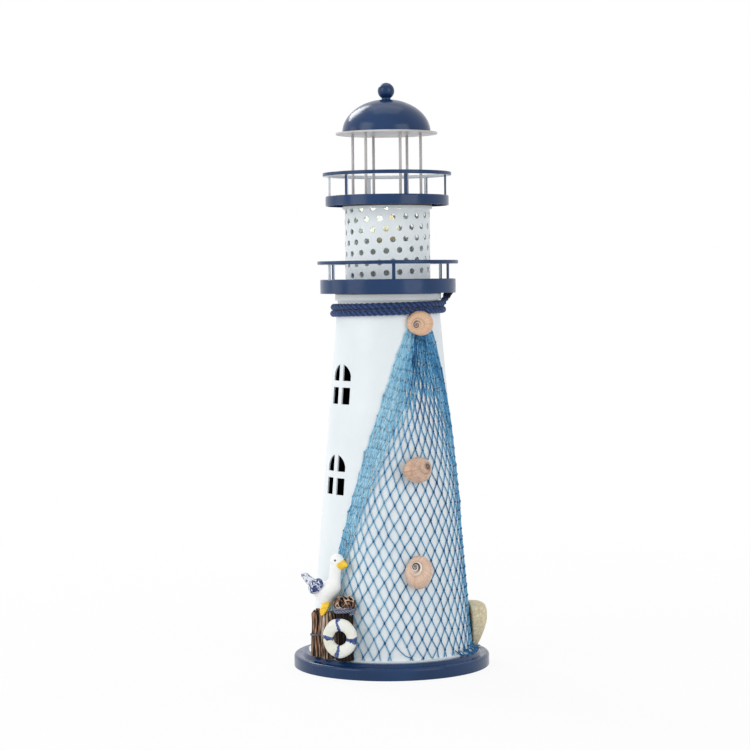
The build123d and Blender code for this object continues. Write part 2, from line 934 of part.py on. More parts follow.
ring_stand = facing(ring_azimuth, right_pile_radius + slip_gap + ring_thick / 2, ring_z)
ring_frame = Plane(
    origin=ring_stand.origin + around(right_pile_azimuth, pile_circle, 0),
    x_dir=ring_stand.x_dir,
    z_dir=ring_stand.z_dir,
)
with BuildPart() as life_ring:
    with Locations(ring_frame):
        add(ring_form.part)
export(life_ring, "life_ring")


# Gull perched on the middle pile, in profile: along is its heading, up is up
gull_z = flange_z + middle_pile_height + gull_stand
gull_way = radians(gull_heading)
gull_frame = Plane(
    origin=around(gull_azimuth, gull_circle, gull_z),
    x_dir=(cos(gull_way), -sin(gull_way), 0),
    z_dir=(-sin(gull_way), -cos(gull_way), 0),
)


def gull_point(along, up, side):
    """Local point of the gull from shares of its length."""
    return (along * gull_length, up * gull_length, side * gull_length)


def oval(along, up, side, half_height, half_width, pitch):
    """Oval slice of the gull, square to a line of that pitch in degrees."""
    turn = radians(pitch)
    middle = gull_point(along, up, side)
    plane = local_plane(gull_frame, middle, (0, 0, 1), (cos(turn), sin(turn), 0))
    eighths = [radians(45 * i) for i in range(9)]
    with BuildSketch(plane) as outline:
        with BuildLine():
            points = [
                (half_width * gull_length * cos(angle), half_height * gull_length * sin(angle))
                for angle in eighths
            ]
            for first in range(0, 8, 2):
                ThreePointArc(*points[first : first + 3])
        make_face()
    return outline.sketch


with BuildPart() as gull:
    # Trunk, from above the feet through the breast and the neck to the head
    loft(
        [
            oval(0.062, -0.315, 0, 0.100, 0.092, 90),
            oval(0.040, -0.215, 0, 0.150, 0.150, 90),
            oval(0.085, -0.085, 0, 0.235, 0.200, 92),
            oval(0.165, 0.060, 0, 0.205, 0.190, 84),
            oval(0.232, 0.190, 0, 0.128, 0.124, 84),
            oval(0.248, 0.345, 0, 0.102, 0.102, 88),
            oval(0.262, 0.500, 0, 0.106, 0.106, 90),
        ]
    )
    # Back, from the breast out to the tail
    loft(
        [
            oval(0.060, -0.050, 0, 0.200, 0.185, -40),
            oval(-0.110, 0.020, 0, 0.185, 0.165, -34),
            oval(-0.270, 0.120, 0, 0.110, 0.118, -40),
            oval(-0.430, 0.270, 0, 0.042, 0.088, -44),
        ]
    )
    with Locations(gull_frame.from_local_coords(gull_point(0.272, 0.556, 0))):
        Sphere(0.130 * gull_length)
    # Beak
    loft(
        [
            oval(0.330, 0.520, 0, 0.098, 0.090, -8),
            oval(0.420, 0.496, 0, 0.084, 0.068, -14),
            oval(0.515, 0.474, 0, 0.020, 0.018, -20),
        ]
    )
    # Folded wings, one on each side
    for side in (-1, 1):
        loft(
            [
                oval(0.045, 0.060, 0.150 * side, 0.075, 0.045, -20),
                oval(-0.060, 0.045, 0.165 * side, 0.160, 0.055, -24),
                oval(-0.190, 0.070, 0.130 * side, 0.160, 0.048, -32),
                oval(-0.330, 0.150, 0.085 * side, 0.065, 0.034, -42),
            ]
        )
    # Far leg, which stands on the pile
    with BuildSketch(local_plane(gull_frame, (0, -gull_stand, gull_leg_side), (1, 0, 0), (0, 1, 0))):
        with Locations(gull_point(0.062, 0, 0)):
            Circle(gull_leg)
    extrude(amount=gull_stand - 0.2 * gull_length)
    # Near foot, webbed, which hangs over the front of the pile
    foot_side = pile_circle + middle_pile_radius + 3 * slip_gap - gull_circle
    with BuildSketch(gull_frame.offset(foot_side)):
        with Locations(gull_point(0.055, -0.395, 0)):
            Ellipse(gull_foot_width / 2, gull_foot_length / 2, rotation=gull_foot_lean)
    extrude(amount=gull_foot_thick)
export(gull, "gull")
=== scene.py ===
from math import asin, acos, atan, atan2, ceil, cos, degrees, exp, log, pi, radians, sin, sqrt

import bmesh
import bpy
import numpy as np
from mathutils import Matrix, Vector, noise


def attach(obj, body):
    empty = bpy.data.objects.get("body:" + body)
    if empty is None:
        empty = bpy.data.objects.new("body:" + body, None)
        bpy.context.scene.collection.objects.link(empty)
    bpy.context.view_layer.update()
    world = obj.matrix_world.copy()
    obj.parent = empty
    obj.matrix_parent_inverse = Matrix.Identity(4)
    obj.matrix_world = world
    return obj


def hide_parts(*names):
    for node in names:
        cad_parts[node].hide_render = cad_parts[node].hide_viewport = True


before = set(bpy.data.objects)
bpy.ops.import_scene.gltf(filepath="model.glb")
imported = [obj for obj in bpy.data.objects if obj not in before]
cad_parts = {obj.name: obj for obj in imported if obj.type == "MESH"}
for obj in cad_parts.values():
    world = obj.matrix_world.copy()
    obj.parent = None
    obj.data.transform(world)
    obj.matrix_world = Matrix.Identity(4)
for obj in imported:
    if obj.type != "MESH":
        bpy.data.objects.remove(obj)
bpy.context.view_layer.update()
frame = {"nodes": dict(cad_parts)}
nodes = frame["nodes"]
scene = bpy.context.scene

# Shapes are worked out in millimetres and made in metres.
MM = 0.001

# Sizes that the CAD source has too
glue_gap = 0.1
plateau_z = 7.8
flange_z = 8.6
tower_top_z = 204.2
foot_radius = 42.6
top_radius = 25.9
cone_slope = (foot_radius - top_radius) / (tower_top_z - plateau_z)


def tower_radius(height):
    """Outer radius of the tower's cone at a height above the table."""
    return foot_radius - cone_slope * (height - plateau_z)


def around(azimuth, radius, height):
    """Point at an azimuth from the front, counted towards +X."""
    turn = radians(azimuth)
    return Vector((radius * sin(turn), -radius * cos(turn), height))


def frame_at(origin, x_dir, z_dir):
    """Matrix of a local frame, in millimetres."""
    z = Vector(z_dir).normalized()
    x = Vector(x_dir)
    x = (x - z * x.dot(z)).normalized()
    y = z.cross(x)
    made = Matrix.Identity(4)
    for column, axis in enumerate((x, y, z)):
        for row in range(3):
            made[row][column] = axis[row]
    for row in range(3):
        made[row][3] = origin[row]
    return made


def facing(azimuth, radius, height, lean=0.0):
    """Frame that looks away from the axis, Y up, tipped up by a lean in radians."""
    turn = radians(azimuth)
    return frame_at(
        around(azimuth, radius, height),
        (cos(turn), sin(turn), 0),
        (sin(turn) * cos(lean), -cos(turn) * cos(lean), sin(lean)),
    )


def circle(count):
    """Angles of a count of points round a circle."""
    return [2 * pi * i / count for i in range(count)]


def clamp(value, low, high):
    """The value, held between two limits."""
    return max(low, min(high, value))


def off_tower(point, gap):
    """The point, moved out of the tower if it is closer than a gap."""
    flat = Vector((point.x, point.y, 0))
    least = tower_radius(point.z) + gap
    return point + flat.normalized() * max(0.0, least - flat.length)


# Materials


def srgb(red, green, blue):
    """Linear colour from 8-bit values as a picture shows them."""

    def linear(value):
        value /= 255
        return value / 12.92 if value <= 0.04045 else ((value + 0.055) / 1.055) ** 2.4

    return (linear(red), linear(green), linear(blue), 1.0)


class Nodes:
    """A node tree under construction."""

    def __init__(self, tree):
        self.tree = tree

    def link(self, socket, value):
        if isinstance(value, bpy.types.NodeSocket):
            self.tree.links.new(value, socket)
        else:
            socket.default_value = value

    def add(self, kind, inputs=(), out=0, **settings):
        made = self.tree.nodes.new(kind)
        for name, value in settings.items():
            setattr(made, name, value)
        for name, value in dict(inputs).items():
            self.link(made.inputs[name], value)
        return made.outputs[out]

    def range(self, value, low, high, new_low, new_high):
        sockets = ("Value", "From Min", "From Max", "To Min", "To Max")
        return self.add("ShaderNodeMapRange", zip(sockets, (value, low, high, new_low, new_high)))

    def math(self, operation, first, second=0.0):
        return self.add("ShaderNodeMath", {0: first, 1: second}, operation=operation)


class Paint(Nodes):
    """A material under construction."""

    def __init__(self, name, roughness=0.5, metallic=0.0, specular=0.5, coat=0.0):
        self.material = bpy.data.materials.new(name)
        self.material.use_nodes = True
        super().__init__(self.material.node_tree)
        self.shader = self.tree.nodes["Principled BSDF"]
        self.put("Roughness", roughness)
        self.put("Metallic", metallic)
        self.put("Specular IOR Level", specular)
        self.put("Coat Weight", coat)

    def put(self, socket, value):
        self.link(self.shader.inputs[socket], value)

    def coords(self, stretch=(1, 1, 1)):
        source = self.add("ShaderNodeTexCoord", out="Object")
        if stretch == (1, 1, 1):
            return source
        return self.add("ShaderNodeMapping", {"Vector": source, "Scale": stretch})

    def noise(self, scale, detail=3.0, stretch=(1, 1, 1), distortion=0.0):
        return self.add(
            "ShaderNodeTexNoise",
            {
                "Vector": self.coords(stretch),
                "Scale": scale,
                "Detail": detail,
                "Distortion": distortion,
            },
        )

    def ramp(self, factor, *stops):
        made = self.tree.nodes.new("ShaderNodeValToRGB")
        self.tree.links.new(factor, made.inputs[0])
        points = made.color_ramp.elements
        while len(points) < len(stops):
            points.new(0.5)
        for point, (place, color) in zip(points, stops):
            point.position = place
            point.color = color
        return made.outputs[0]

    def mix(self, factor, first, second):
        inputs = {0: factor, 6: first, 7: second}
        return self.add("ShaderNodeMix", inputs, out=2, data_type="RGBA")

    def bump(self, height, distance, strength=1.0):
        inputs = {"Height": height, "Distance": distance, "Strength": strength}
        self.put("Normal", self.add("ShaderNodeBump", inputs))

    def attribute(self, name):
        """A value that each point of the mesh carries."""
        return self.add("ShaderNodeAttribute", out="Fac", attribute_name=name)

    def streaks(self, value, scale, detail):
        """Noise along one value."""
        return self.add("ShaderNodeTexNoise", {"Vector": value, "Scale": scale, "Detail": detail})

    def height(self):
        """Height over the origin, in metres."""
        return self.add("ShaderNodeSeparateXYZ", {"Vector": self.coords()}, out="Z")

    def clouded(self, scale, detail, dark, light, low=0.3, high=0.7):
        """A colour that drifts between two."""
        return self.ramp(self.noise(scale, detail), (low, dark), (high, light))

    def uneven(self, scale, low, high):
        """Roughness that drifts between two values."""
        self.put("Roughness", self.range(self.noise(scale, 2.0), 0.3, 0.7, low, high))

    def outward(self, twist=0.0):
        """How far the surface faces away from the lighthouse's axis, from -1 to 1."""
        place = self.add(
            "ShaderNodeVectorMath",
            {0: self.coords(), 1: (1, 1, 0)},
            operation="MULTIPLY",
        )
        away = self.add("ShaderNodeVectorMath", {0: place}, operation="NORMALIZE")
        if twist:
            away = self.add(
                "ShaderNodeVectorRotate", {"Vector": away, "Angle": twist}, rotation_type="Z_AXIS"
            )
        normal = self.add("ShaderNodeNewGeometry", out="Normal")
        return self.add(
            "ShaderNodeVectorMath", {0: away, 1: normal}, out="Value", operation="DOT_PRODUCT"
        )


navy = (srgb(27, 60, 103), srgb(15, 47, 86))
white = (srgb(233, 239, 241), srgb(225, 232, 235))
# The tower's inside: near-black, painted shade of the closed tower seen through its windows
inside_shade = (srgb(40, 41, 44), srgb(22, 23, 26))
# Painted shadow where a deck meets the lid skirt and the neck collar: its colour, and the height
# over which it fades in
seam_shadow_color = srgb(74, 66, 60)
seam_shadow_blur = 0.0003


def enamel(
    name, colors, roughness, inside=None, inside_edge=-0.3, twist=0.0, specular=0.5, seam=None
):
    """Sprayed enamel on tin, light and dark in clouds, with orange peel.

    It may have other colours inside, and a painted shadow, dark from a seam's height up, where a
    deck meets it.
    """
    paint = Paint(name, specular=specular)
    color = paint.clouded(38.0, 4.0, colors[1], colors[0], high=0.72)
    if inside:
        shade = paint.clouded(60.0, 4.0, inside[1], inside[0])
        turned = paint.range(paint.outward(twist), inside_edge - 0.05, inside_edge + 0.05, 1.0, 0.0)
        color = paint.mix(turned, color, shade)
    # Painted shadow under the deck, dark from the seam's height up
    if seam:
        above = paint.range(paint.height(), seam, seam + seam_shadow_blur, 0.0, 1.0)
        color = paint.mix(above, color, seam_shadow_color)
    paint.put("Base Color", color)
    paint.uneven(160.0, roughness - 0.06, roughness + 0.08)
    paint.bump(paint.noise(520.0, 2.0), 0.00012, 0.35)
    return paint.material


def plastic(name, light, dark, roughness, translucent=0.0):
    """Moulded plastic with faint clouding and a fine moulded skin."""
    paint = Paint(name)
    paint.put("Base Color", paint.clouded(120.0, 3.0, dark, light))
    paint.uneven(300.0, roughness - 0.05, roughness + 0.06)
    if translucent:
        paint.put("Subsurface Weight", translucent)
        paint.put("Subsurface Radius", (0.004, 0.003, 0.002))
        paint.put("Subsurface Scale", 1.0)
    paint.bump(paint.noise(1500.0, 2.0), 0.00005, 0.3)
    return paint


def glow(name, light, dark, color, strength, lit_from):
    """Lit plastic with a clouded skin, bright above a height in metres."""
    paint = plastic(name, light, dark, 0.35, 0.3)
    paint.put("Emission Color", paint.clouded(90.0, 2.0, color, light, 0.2, 0.8))
    lit = paint.range(paint.height(), lit_from, lit_from + 0.003, 0.0, strength)
    paint.put("Emission Strength", lit)
    return paint.material


def brushed(name, light, dark):
    """Plated steel with fine round brushing."""
    paint = Paint(name, metallic=1.0, roughness=0.3)
    lines = paint.noise(900.0, 3.0, (1, 0.05, 1))
    paint.put("Base Color", paint.ramp(lines, (0.3, dark), (0.7, light)))
    paint.put("Roughness", paint.range(lines, 0.3, 0.7, 0.22, 0.4))
    paint.bump(lines, 0.00003, 0.4)
    return paint.material


def resin(name, scale, detail, dark, light, **finish):
    """Painted resin with faint clouding."""
    paint = Paint(name, **finish)
    paint.put("Base Color", paint.clouded(scale, detail, srgb(*dark), srgb(*light)))
    return paint


white_roughness = 0.42
# Heights in metres from which the painted shadow under each deck starts
skirt_shadow_from = 0.2431
collar_shadow_from = 0.1969
candle = plastic("candle_plastic", srgb(238, 239, 236), srgb(228, 229, 225), 0.4, 0.2)
knob = plastic("knob_plastic", srgb(44, 44, 46), srgb(33, 33, 35), 0.45)


def dress(material, *names):
    """Give CAD nodes a material."""
    for name in names:
        nodes[name].data.materials.clear()
        nodes[name].data.materials.append(material)


dress(
    enamel("navy_enamel", navy, 0.2, specular=0.3),
    "base_pan", "lower_deck", "upper_deck", "roof_dome", "finial_ball",
)
dress(enamel("white_enamel", white, white_roughness), "lantern_drum")
dress(enamel("skirt_enamel", white, white_roughness, seam=skirt_shadow_from), "lid_skirt")
dress(enamel("collar_enamel", white, white_roughness, seam=collar_shadow_from), "neck_collar")
# White enamel greyed for the roof rods and plate: painted shade under the roof
rod_shade_colors = (srgb(204, 201, 200), srgb(178, 174, 172))
dress(enamel("rod_enamel", rod_shade_colors, 0.35), "roof_rods", "roof_plate")
# Its inside faces are painted near-black as the shade inside the closed tower
dress(enamel("tower_enamel", white, white_roughness, inside=inside_shade), "tower_shell")
dress(
    enamel("two_tone_enamel", navy, 0.3, white, 0.25, radians(-35), specular=0.3),
    "lower_posts", "lower_rail", "upper_posts", "upper_rail",
)
dress(candle.material, "tealight_cup", "tealight_plate", "battery_door")
flame_colors = (srgb(246, 246, 232), srgb(238, 238, 220), srgb(232, 238, 180))
dress(glow("flame_plastic", *flame_colors, 0.7, 0.2295), "flame_lens")
lamp_colors = (srgb(255, 246, 214), srgb(255, 236, 180), srgb(255, 240, 200))
dress(glow("lamp_plastic", *lamp_colors, 1.0, 0.2), "lamp")
dress(brushed("cell_steel", srgb(205, 206, 208), srgb(178, 180, 184)), "coin_cell")
dress(knob.material, "slide_knob")


# Mesh helpers


def untwisted(line):
    """Each point of a line, with two directions square to it that turn no more than it bends."""
    line = [Vector(point) for point in line]
    side = None
    for i, point in enumerate(line):
        way = (line[min(i + 1, len(line) - 1)] - line[max(i - 1, 0)]).normalized()
        if side is None:
            side = way.orthogonal().normalized()
        side = (side - way * side.dot(way)).normalized()
        yield point, side, way.cross(side)


class Shape:
    """Points in millimetres and faces of one piece, gathered from several forms."""

    def __init__(self):
        self.points = []
        self.faces = []
        self.layers = {}

    def layer(self, name, values):
        """One value for each point that was added last."""
        known = self.layers.setdefault(name, {})
        start = len(self.points) - len(values)
        for offset, value in enumerate(values):
            known[start + offset] = value

    def grid(self, rows, closed_row=True, closed_column=False, caps=True):
        """Faces over rows of points, and a fan over each open end."""
        start = len(self.points)
        width = len(rows[0])
        self.points.extend(tuple(point) for row in rows for point in row)
        across = width if closed_row else width - 1
        down = len(rows) if closed_column else len(rows) - 1
        for i in range(down):
            here = start + i * width
            there = start + (i + 1) % len(rows) * width
            for j in range(across):
                k = (j + 1) % width
                self.faces.append((here + j, here + k, there + k, there + j))
        if caps and closed_row and not closed_column:
            self.faces.append(tuple(start + j for j in reversed(range(width))))
            last = start + (len(rows) - 1) * width
            self.faces.append(tuple(last + j for j in range(width)))

    def tube(self, line, radius, sides=6):
        """A round tube along a line of points, with closed ends."""
        last = len(line) - 1
        rows = []
        for i, (point, side, up) in enumerate(untwisted(line)):
            size = radius(i / last) if callable(radius) else radius
            rows.append([point + (side * cos(t) + up * sin(t)) * size for t in circle(sides)])
        self.grid(rows)

    def ball(self, middle, axes, rings=6, sides=8):
        """An ellipsoid with half axes given as three vectors."""
        middle = Vector(middle)
        a, b, c = (Vector(axis) for axis in axes)
        rows = []
        for i in range(1, rings):
            ring, rise = sin(pi * i / rings), c * cos(pi * i / rings)
            rows.append(
                [middle + a * ring * cos(t) + b * ring * sin(t) - rise for t in circle(sides)]
            )
        self.grid(rows, caps=False)
        start = len(self.points) - sides * (rings - 1)
        self.points.append(tuple(middle - c))
        self.points.append(tuple(middle + c))
        low, high = len(self.points) - 2, len(self.points) - 1
        last = start + sides * (rings - 2)
        for j in range(sides):
            k = (j + 1) % sides
            self.faces.append((low, start + k, start + j))
            self.faces.append((high, last + j, last + k))

    def mesh(self, name, place=None):
        """The mesh, in metres, in the coordinates of a local frame if one is given."""
        made = bpy.data.meshes.new(name)
        points = self.points
        if place is not None:
            back = place.inverted()
            points = [back @ Vector(point) for point in points]
        made.from_pydata([Vector(point) * MM for point in points], [], self.faces)
        for layer, values in self.layers.items():
            attribute = made.attributes.new(layer, "FLOAT", "POINT")
            flat = [values.get(i, 0.0) for i in range(len(self.points))]
            attribute.data.foreach_set("value", flat)
        made.validate()
        check = bmesh.new()
        check.from_mesh(made)
        bmesh.ops.recalc_face_normals(check, faces=check.faces)
        check.to_mesh(made)
        check.free()
        made.polygons.foreach_set("use_smooth", [True] * len(made.polygons))
        return made


def over_rows(rows, **layers):
    """A shape over rows of points, with values that the points carry."""
    shape = Shape()
    shape.grid(rows)
    for name, values in layers.items():
        shape.layer(name, values)
    return shape


def in_metres(place):
    """A local frame with its origin in metres."""
    made = place.copy()
    for row in range(3):
        made[row][3] *= MM
    return made


def piece(name, shape, material, node, place=None):
    """A piece of the tower's body that stands for a CAD node."""
    mesh = shape.mesh(name, place) if isinstance(shape, Shape) else shape
    made = bpy.data.objects.new(name, mesh)
    scene.collection.objects.link(made)
    if place is not None:
        made.matrix_world = in_metres(place)
    mesh.materials.clear()
    mesh.materials.append(material)
    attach(made, "tower")
    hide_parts(node)
    return made


def remeshed(shape, name, voxel, smooth):
    """One closed skin over overlapping forms, softened as a cast is."""
    source = bpy.data.objects.new("source", shape.mesh("source"))
    scene.collection.objects.link(source)
    skin = source.modifiers.new("skin", "REMESH")
    skin.mode = "VOXEL"
    skin.voxel_size = voxel * MM
    soft = source.modifiers.new("soft", "SMOOTH")
    soft.factor = 0.5
    soft.iterations = smooth
    bpy.context.view_layer.update()
    made = bpy.data.meshes.new_from_object(
        source.evaluated_get(bpy.context.evaluated_depsgraph_get())
    )
    made.name = name
    bpy.data.objects.remove(source)
    made.polygons.foreach_set("use_smooth", [True] * len(made.polygons))
    return made


def wobble(point, scale, seed=0.0):
    """Smooth noise from -1 to 1 at a point, with features of about 1 / scale."""
    return noise.noise(Vector(point) * scale + Vector((seed, 0, 0)))


# Rope: three strands laid together, wound nearly twice round the neck

rope_radius = 1.8
rope_cad_radius = 1.55
rope_pitch = 3.4
rope_front_z = 187.8
rope_start = 130.0
rope_end = 798.0
rope_strands = 3
rope_lay = 9.4
rope_gap = 0.3
rope_step = 15.0
rope_lead_in = 3.1
tail_turn = rope_end + 11.0
tail_out = 2.9
tail_rise = 4.6
tail_bend = 2.4
tail_end = 2.6


def rope_point(turn):
    """Point of the rope's route at a running turn in degrees, as in the CAD source."""
    height = rope_front_z + rope_pitch * (turn / 360 - 1)
    return around(turn, tower_radius(height - rope_cad_radius) + rope_cad_radius + rope_gap, height)


def nurbs_line(points, name, resolution=6):
    """Points along a smooth spline with the given control points."""
    curve = bpy.data.curves.new(name, "CURVE")
    curve.dimensions = "3D"
    curve.resolution_u = resolution
    spline = curve.splines.new("NURBS")
    spline.points.add(len(points) - 1)
    for knot, point in zip(spline.points, points):
        knot.co = (*point, 1.0)
    spline.order_u = 3
    spline.use_endpoint_u = True
    bare = bpy.data.objects.new(name, curve)
    made = bpy.data.meshes.new_from_object(bare)
    line = [vertex.co.copy() for vertex in made.vertices]
    bpy.data.objects.remove(bare)
    bpy.data.curves.remove(curve)
    bpy.data.meshes.remove(made)
    return line


def rope_route():
    """Control points of the rope: a lead-in, its turns and the tail that stands up."""
    count = ceil((rope_end - rope_start) / rope_step)
    turns = [rope_start + (rope_end - rope_start) * i / count for i in range(count + 1)]
    points = [rope_point(turn) for turn in turns]
    lead_in = (rope_point(rope_start + 1) - rope_point(rope_start - 1)).normalized()
    leave = (rope_point(rope_end + 1) - rope_point(rope_end - 1)).normalized()
    foot = points[-1]
    top = around(tail_turn, tower_radius(foot.z) + rope_cad_radius + tail_out, foot.z + tail_rise)
    way = (around(tail_turn, 1, 0) + Vector((0, 0, 2))).normalized()
    return [
        points[0] - lead_in * rope_lead_in,
        *points,
        foot + leave * tail_bend,
        top - way * tail_bend,
        top,
        top + way * tail_end,
    ]


def laid_rope(line, radius, lay, sides):
    """A tube whose section is the outline of strands that turn with its length."""
    offset = 0.51 * radius
    thick = radius - offset
    step = 2 * pi / rope_strands
    run = 0.0
    before = None
    rows, crest = [], []
    for point, side, up in untwisted(line):
        if before is not None:
            run += (point - before).length
        before = point
        twist = 2 * pi * run / lay
        row = []
        for turn in circle(sides):
            away = (turn - twist + step / 2) % step - step / 2
            reach = offset * cos(away) + sqrt(max(thick**2 - (offset * sin(away)) ** 2, 0))
            row.append(point + (side * cos(turn) + up * sin(turn)) * reach)
            crest.append(cos(rope_strands * away))
        rows.append(row)
    return over_rows(rows, crest=crest), run


def twine_paint(name, light, middle, dark, scale, valley_shade=None):
    """Spun fibre: light and dark hairs, matt, with painted shade between the strands."""
    paint = Paint(name, roughness=0.85, specular=0.2)
    hairs = paint.noise(scale, 4.0, distortion=1.5)
    blot = paint.noise(scale / 6, 3.0)
    color = paint.ramp(hairs, (0.32, dark), (0.5, middle), (0.7, light))
    color = paint.mix(paint.range(blot, 0.35, 0.65, 0.1, 0.5), color, middle)
    if valley_shade:
        # Painted shade in the valleys between the strands, from the crest that the mesh carries
        crest = paint.attribute("crest")
        color = paint.mix(paint.range(crest, -1.0, 0.55, 0.95, 0.0), color, valley_shade)
    paint.put("Base Color", color)
    paint.put("Sheen Weight", 0.15)
    paint.put("Sheen Roughness", 0.5)
    paint.bump(hairs, 0.0002, 0.6)
    return paint.material


rope_line = nurbs_line(rope_route(), "rope_route")
rope_shape, rope_length = laid_rope(rope_line, rope_radius, rope_lay, 36)
rope = piece(
    "neck_rope_laid",
    rope_shape,
    twine_paint(
        "navy_rope",
        # The last colour is the painted shade between the strands
        srgb(106, 132, 184), srgb(50, 77, 130), srgb(20, 36, 78), 2200.0, srgb(6, 12, 32),
    ),
    "neck_rope",
)

# Frayed yarns at the rope's cut end
fray_yarns = 70
fray = Shape()
fray_rng = np.random.default_rng(5)
end_way = (rope_line[-1] - rope_line[-3]).normalized()
for _ in range(fray_yarns):
    out = Vector(fray_rng.normal(size=3))
    out = (out - end_way * out.dot(end_way)).normalized()
    start = rope_line[-1] + out * rope_radius * (0.75 + 0.3 * fray_rng.random()) - end_way * 4.0
    reach = 3.6 + 1.4 * fray_rng.random()
    bend = out * reach * (0.02 + 0.2 * fray_rng.random())
    line = [start + end_way * reach * t + bend * t * t for t in (0, 0.35, 0.7, 1.0)]
    fray.tube(line, lambda t: 0.3 * (1 - 0.5 * t), 5)
piece(
    "neck_rope_fray",
    fray,
    twine_paint("rope_fray", srgb(34, 42, 66), srgb(14, 18, 32), srgb(6, 8, 16), 2600.0),
    "neck_rope",
)


# Fishing net: knotted strands that run from the gather under the top shell

net_top_z = 183.0
net_foot_z = 8.7
net_columns = (11, 16)
net_strand = 0.27
net_bar = 5.8
# Looser than this, a strand has none lying under it
under_layer = 0.46
under_strands = 2
under_spread = 1.3
# Strands lying under are painted paler: painted light that bounces in and shines through the
# gathered twine
under_lit_tone = 0.34
net_fold = (1.35, 0.75)
net_widest = 5.6
net_narrowest = 0.8
net_closing = 0.056
net_closes_from = 93.0
net_straight = 13.0
# Sideways place of the left edge as it falls, and azimuths of the right edge
net_left = (11.3, -68.0, 18.0)
net_right_top = 48.0
net_right_foot = 124.0
knot_rings = 5
knot_sides = 7
loose_ends = 26


def net_edge(height):
    """Azimuths of the net's left and right edge at a height."""
    height = clamp(height, net_foot_z, net_top_z)
    fall = (net_top_z - height) / (net_top_z - net_foot_z)
    radius = tower_radius(height) + glue_gap
    left = net_left[0] + net_left[1] * fall + net_left[2] * fall**2
    right_top = -(tower_radius(net_top_z) + glue_gap) * cos(radians(net_right_top))
    right_foot = -(tower_radius(net_foot_z) + glue_gap) * cos(radians(net_right_foot))
    right = right_top + (right_foot - right_top) * fall
    return degrees(asin(left / radius)), degrees(acos(-right / radius))


def net_open(height):
    """Width of the gaps in the middle of the net at a height."""
    return clamp(net_widest - net_closing * (height - net_closes_from), net_narrowest, net_widest)


def net_middle(height):
    """Azimuth of the column that hangs straight down."""
    left, right = net_edge(height)
    straight = degrees(asin(net_straight / tower_radius(height)))
    return clamp(straight, left + 0.35 * (right - left), left + 0.6 * (right - left))


def net_azimuth(column, height):
    """Azimuth of a column, counted from the straight one: it hangs open up to a folded edge."""
    left, right = net_edge(height)
    middle = net_middle(height)
    radius = tower_radius(height)
    count = net_columns[0] if column < 0 else net_columns[1]
    reach = radians(abs((left if column < 0 else right) - middle)) * radius
    width = net_open(height)
    fold = min(net_fold[0] if column < 0 else net_fold[1], 0.8 * reach / count)
    open_way = width * abs(column)
    fold_way = reach - (count - abs(column)) * fold
    soft = 0.5 * width + 0.3
    least = min(open_way, fold_way)
    blend = exp((least - open_way) / soft) + exp((least - fold_way) / soft)
    way = max(least - soft * log(blend), 0.0)
    return middle + degrees(way / radius) * (-1 if column < 0 else 1)


def net_drop(azimuth, height):
    """How far a row has fallen at an azimuth: rows slope down to the right, more above."""
    along = radians(azimuth - net_middle(height)) * tower_radius(height)
    upper = clamp((height - 80) / 50, 0.0, 1.0)
    return (0.155 + 0.135 * upper) * along - 0.0017 * along**2


def net_rows():
    """Heights of the rows of knots in the middle; a closed mesh hangs longer."""
    heights = [net_top_z + 14.0]
    while heights[-1] > net_foot_z - 16:
        half = net_open(heights[-1]) / 2
        heights.append(heights[-1] - sqrt(net_bar**2 - half**2))
    return heights


def net_tone(column, height):
    """Tone of the twine, 0 dark to 1 light: paler towards the left edge, more so higher up, and
    darker in the gather's fold as painted shade.
    """
    share = column / (net_columns[0] if column < 0 else net_columns[1])
    upper = clamp((height - 60) / 60, 0.0, 1.0)
    if column < 0:
        tone = 0.48 + 0.32 * min(1.0, abs(share) * 1.6) * (0.6 + 0.4 * upper)
    else:
        tone = 0.48 + 0.14 * share - 0.16 * clamp((height - 115) / 35, 0.0, 1.0)
    # Painted shade: darker in the gather's fold near the top
    fold = exp(-(((column + 0.6) / 0.7) ** 2)) * clamp((height - 142) / 14, 0.0, 1.0)
    return clamp(tone * (1 - 0.9 * fold), 0.02, 1.0)


net = Shape()
knots = Shape()
net_rng = np.random.default_rng(11)
net_points = {}
for row, height in enumerate(net_rows()):
    shift = 0.5 * (row % 2)
    for column in np.arange(-net_columns[0] + shift, net_columns[1] + 0.01):
        column = float(column)
        z = height
        for _ in range(4):
            azimuth = net_azimuth(column, z)
            z = height - net_drop(azimuth, height)
        gap = abs(net_azimuth(column + 0.5, z) - net_azimuth(column - 0.5, z))
        loose = min(1.0, radians(gap) * tower_radius(z) / 5.65)
        azimuth += net_rng.normal() * 0.2 * (0.5 + loose)
        z += net_rng.normal() * (0.2 + 0.55 * (1 - loose))
        if not net_foot_z - 4.5 < z < net_top_z + 3.5:
            continue
        z = min(z, net_top_z - 0.4)
        pile_up = (1 - loose) * abs(net_rng.normal()) * 0.4
        tone = clamp(net_tone(column, z) + net_rng.normal() * 0.07, 0.0, 1.0)
        net_points[row, round(column * 2)] = (azimuth, z, pile_up, loose, tone)


def net_place(azimuth, height, lift=0.0):
    """Point on the tower where a strand lies."""
    height = max(height, flange_z + net_strand + 0.1)
    return around(azimuth, tower_radius(height) + glue_gap + net_strand + 0.05 + lift, height)


def strand(line, tone_here, tone_there, radius=net_strand, sides=6):
    """One strand, its tone running from end to end."""
    net.tube(line, radius, sides)
    last = len(line) - 1
    tones = [tone_here + (tone_there - tone_here) * i / last for i in range(last + 1)]
    net.layer("tone", [tone for tone in tones for _ in range(sides)])


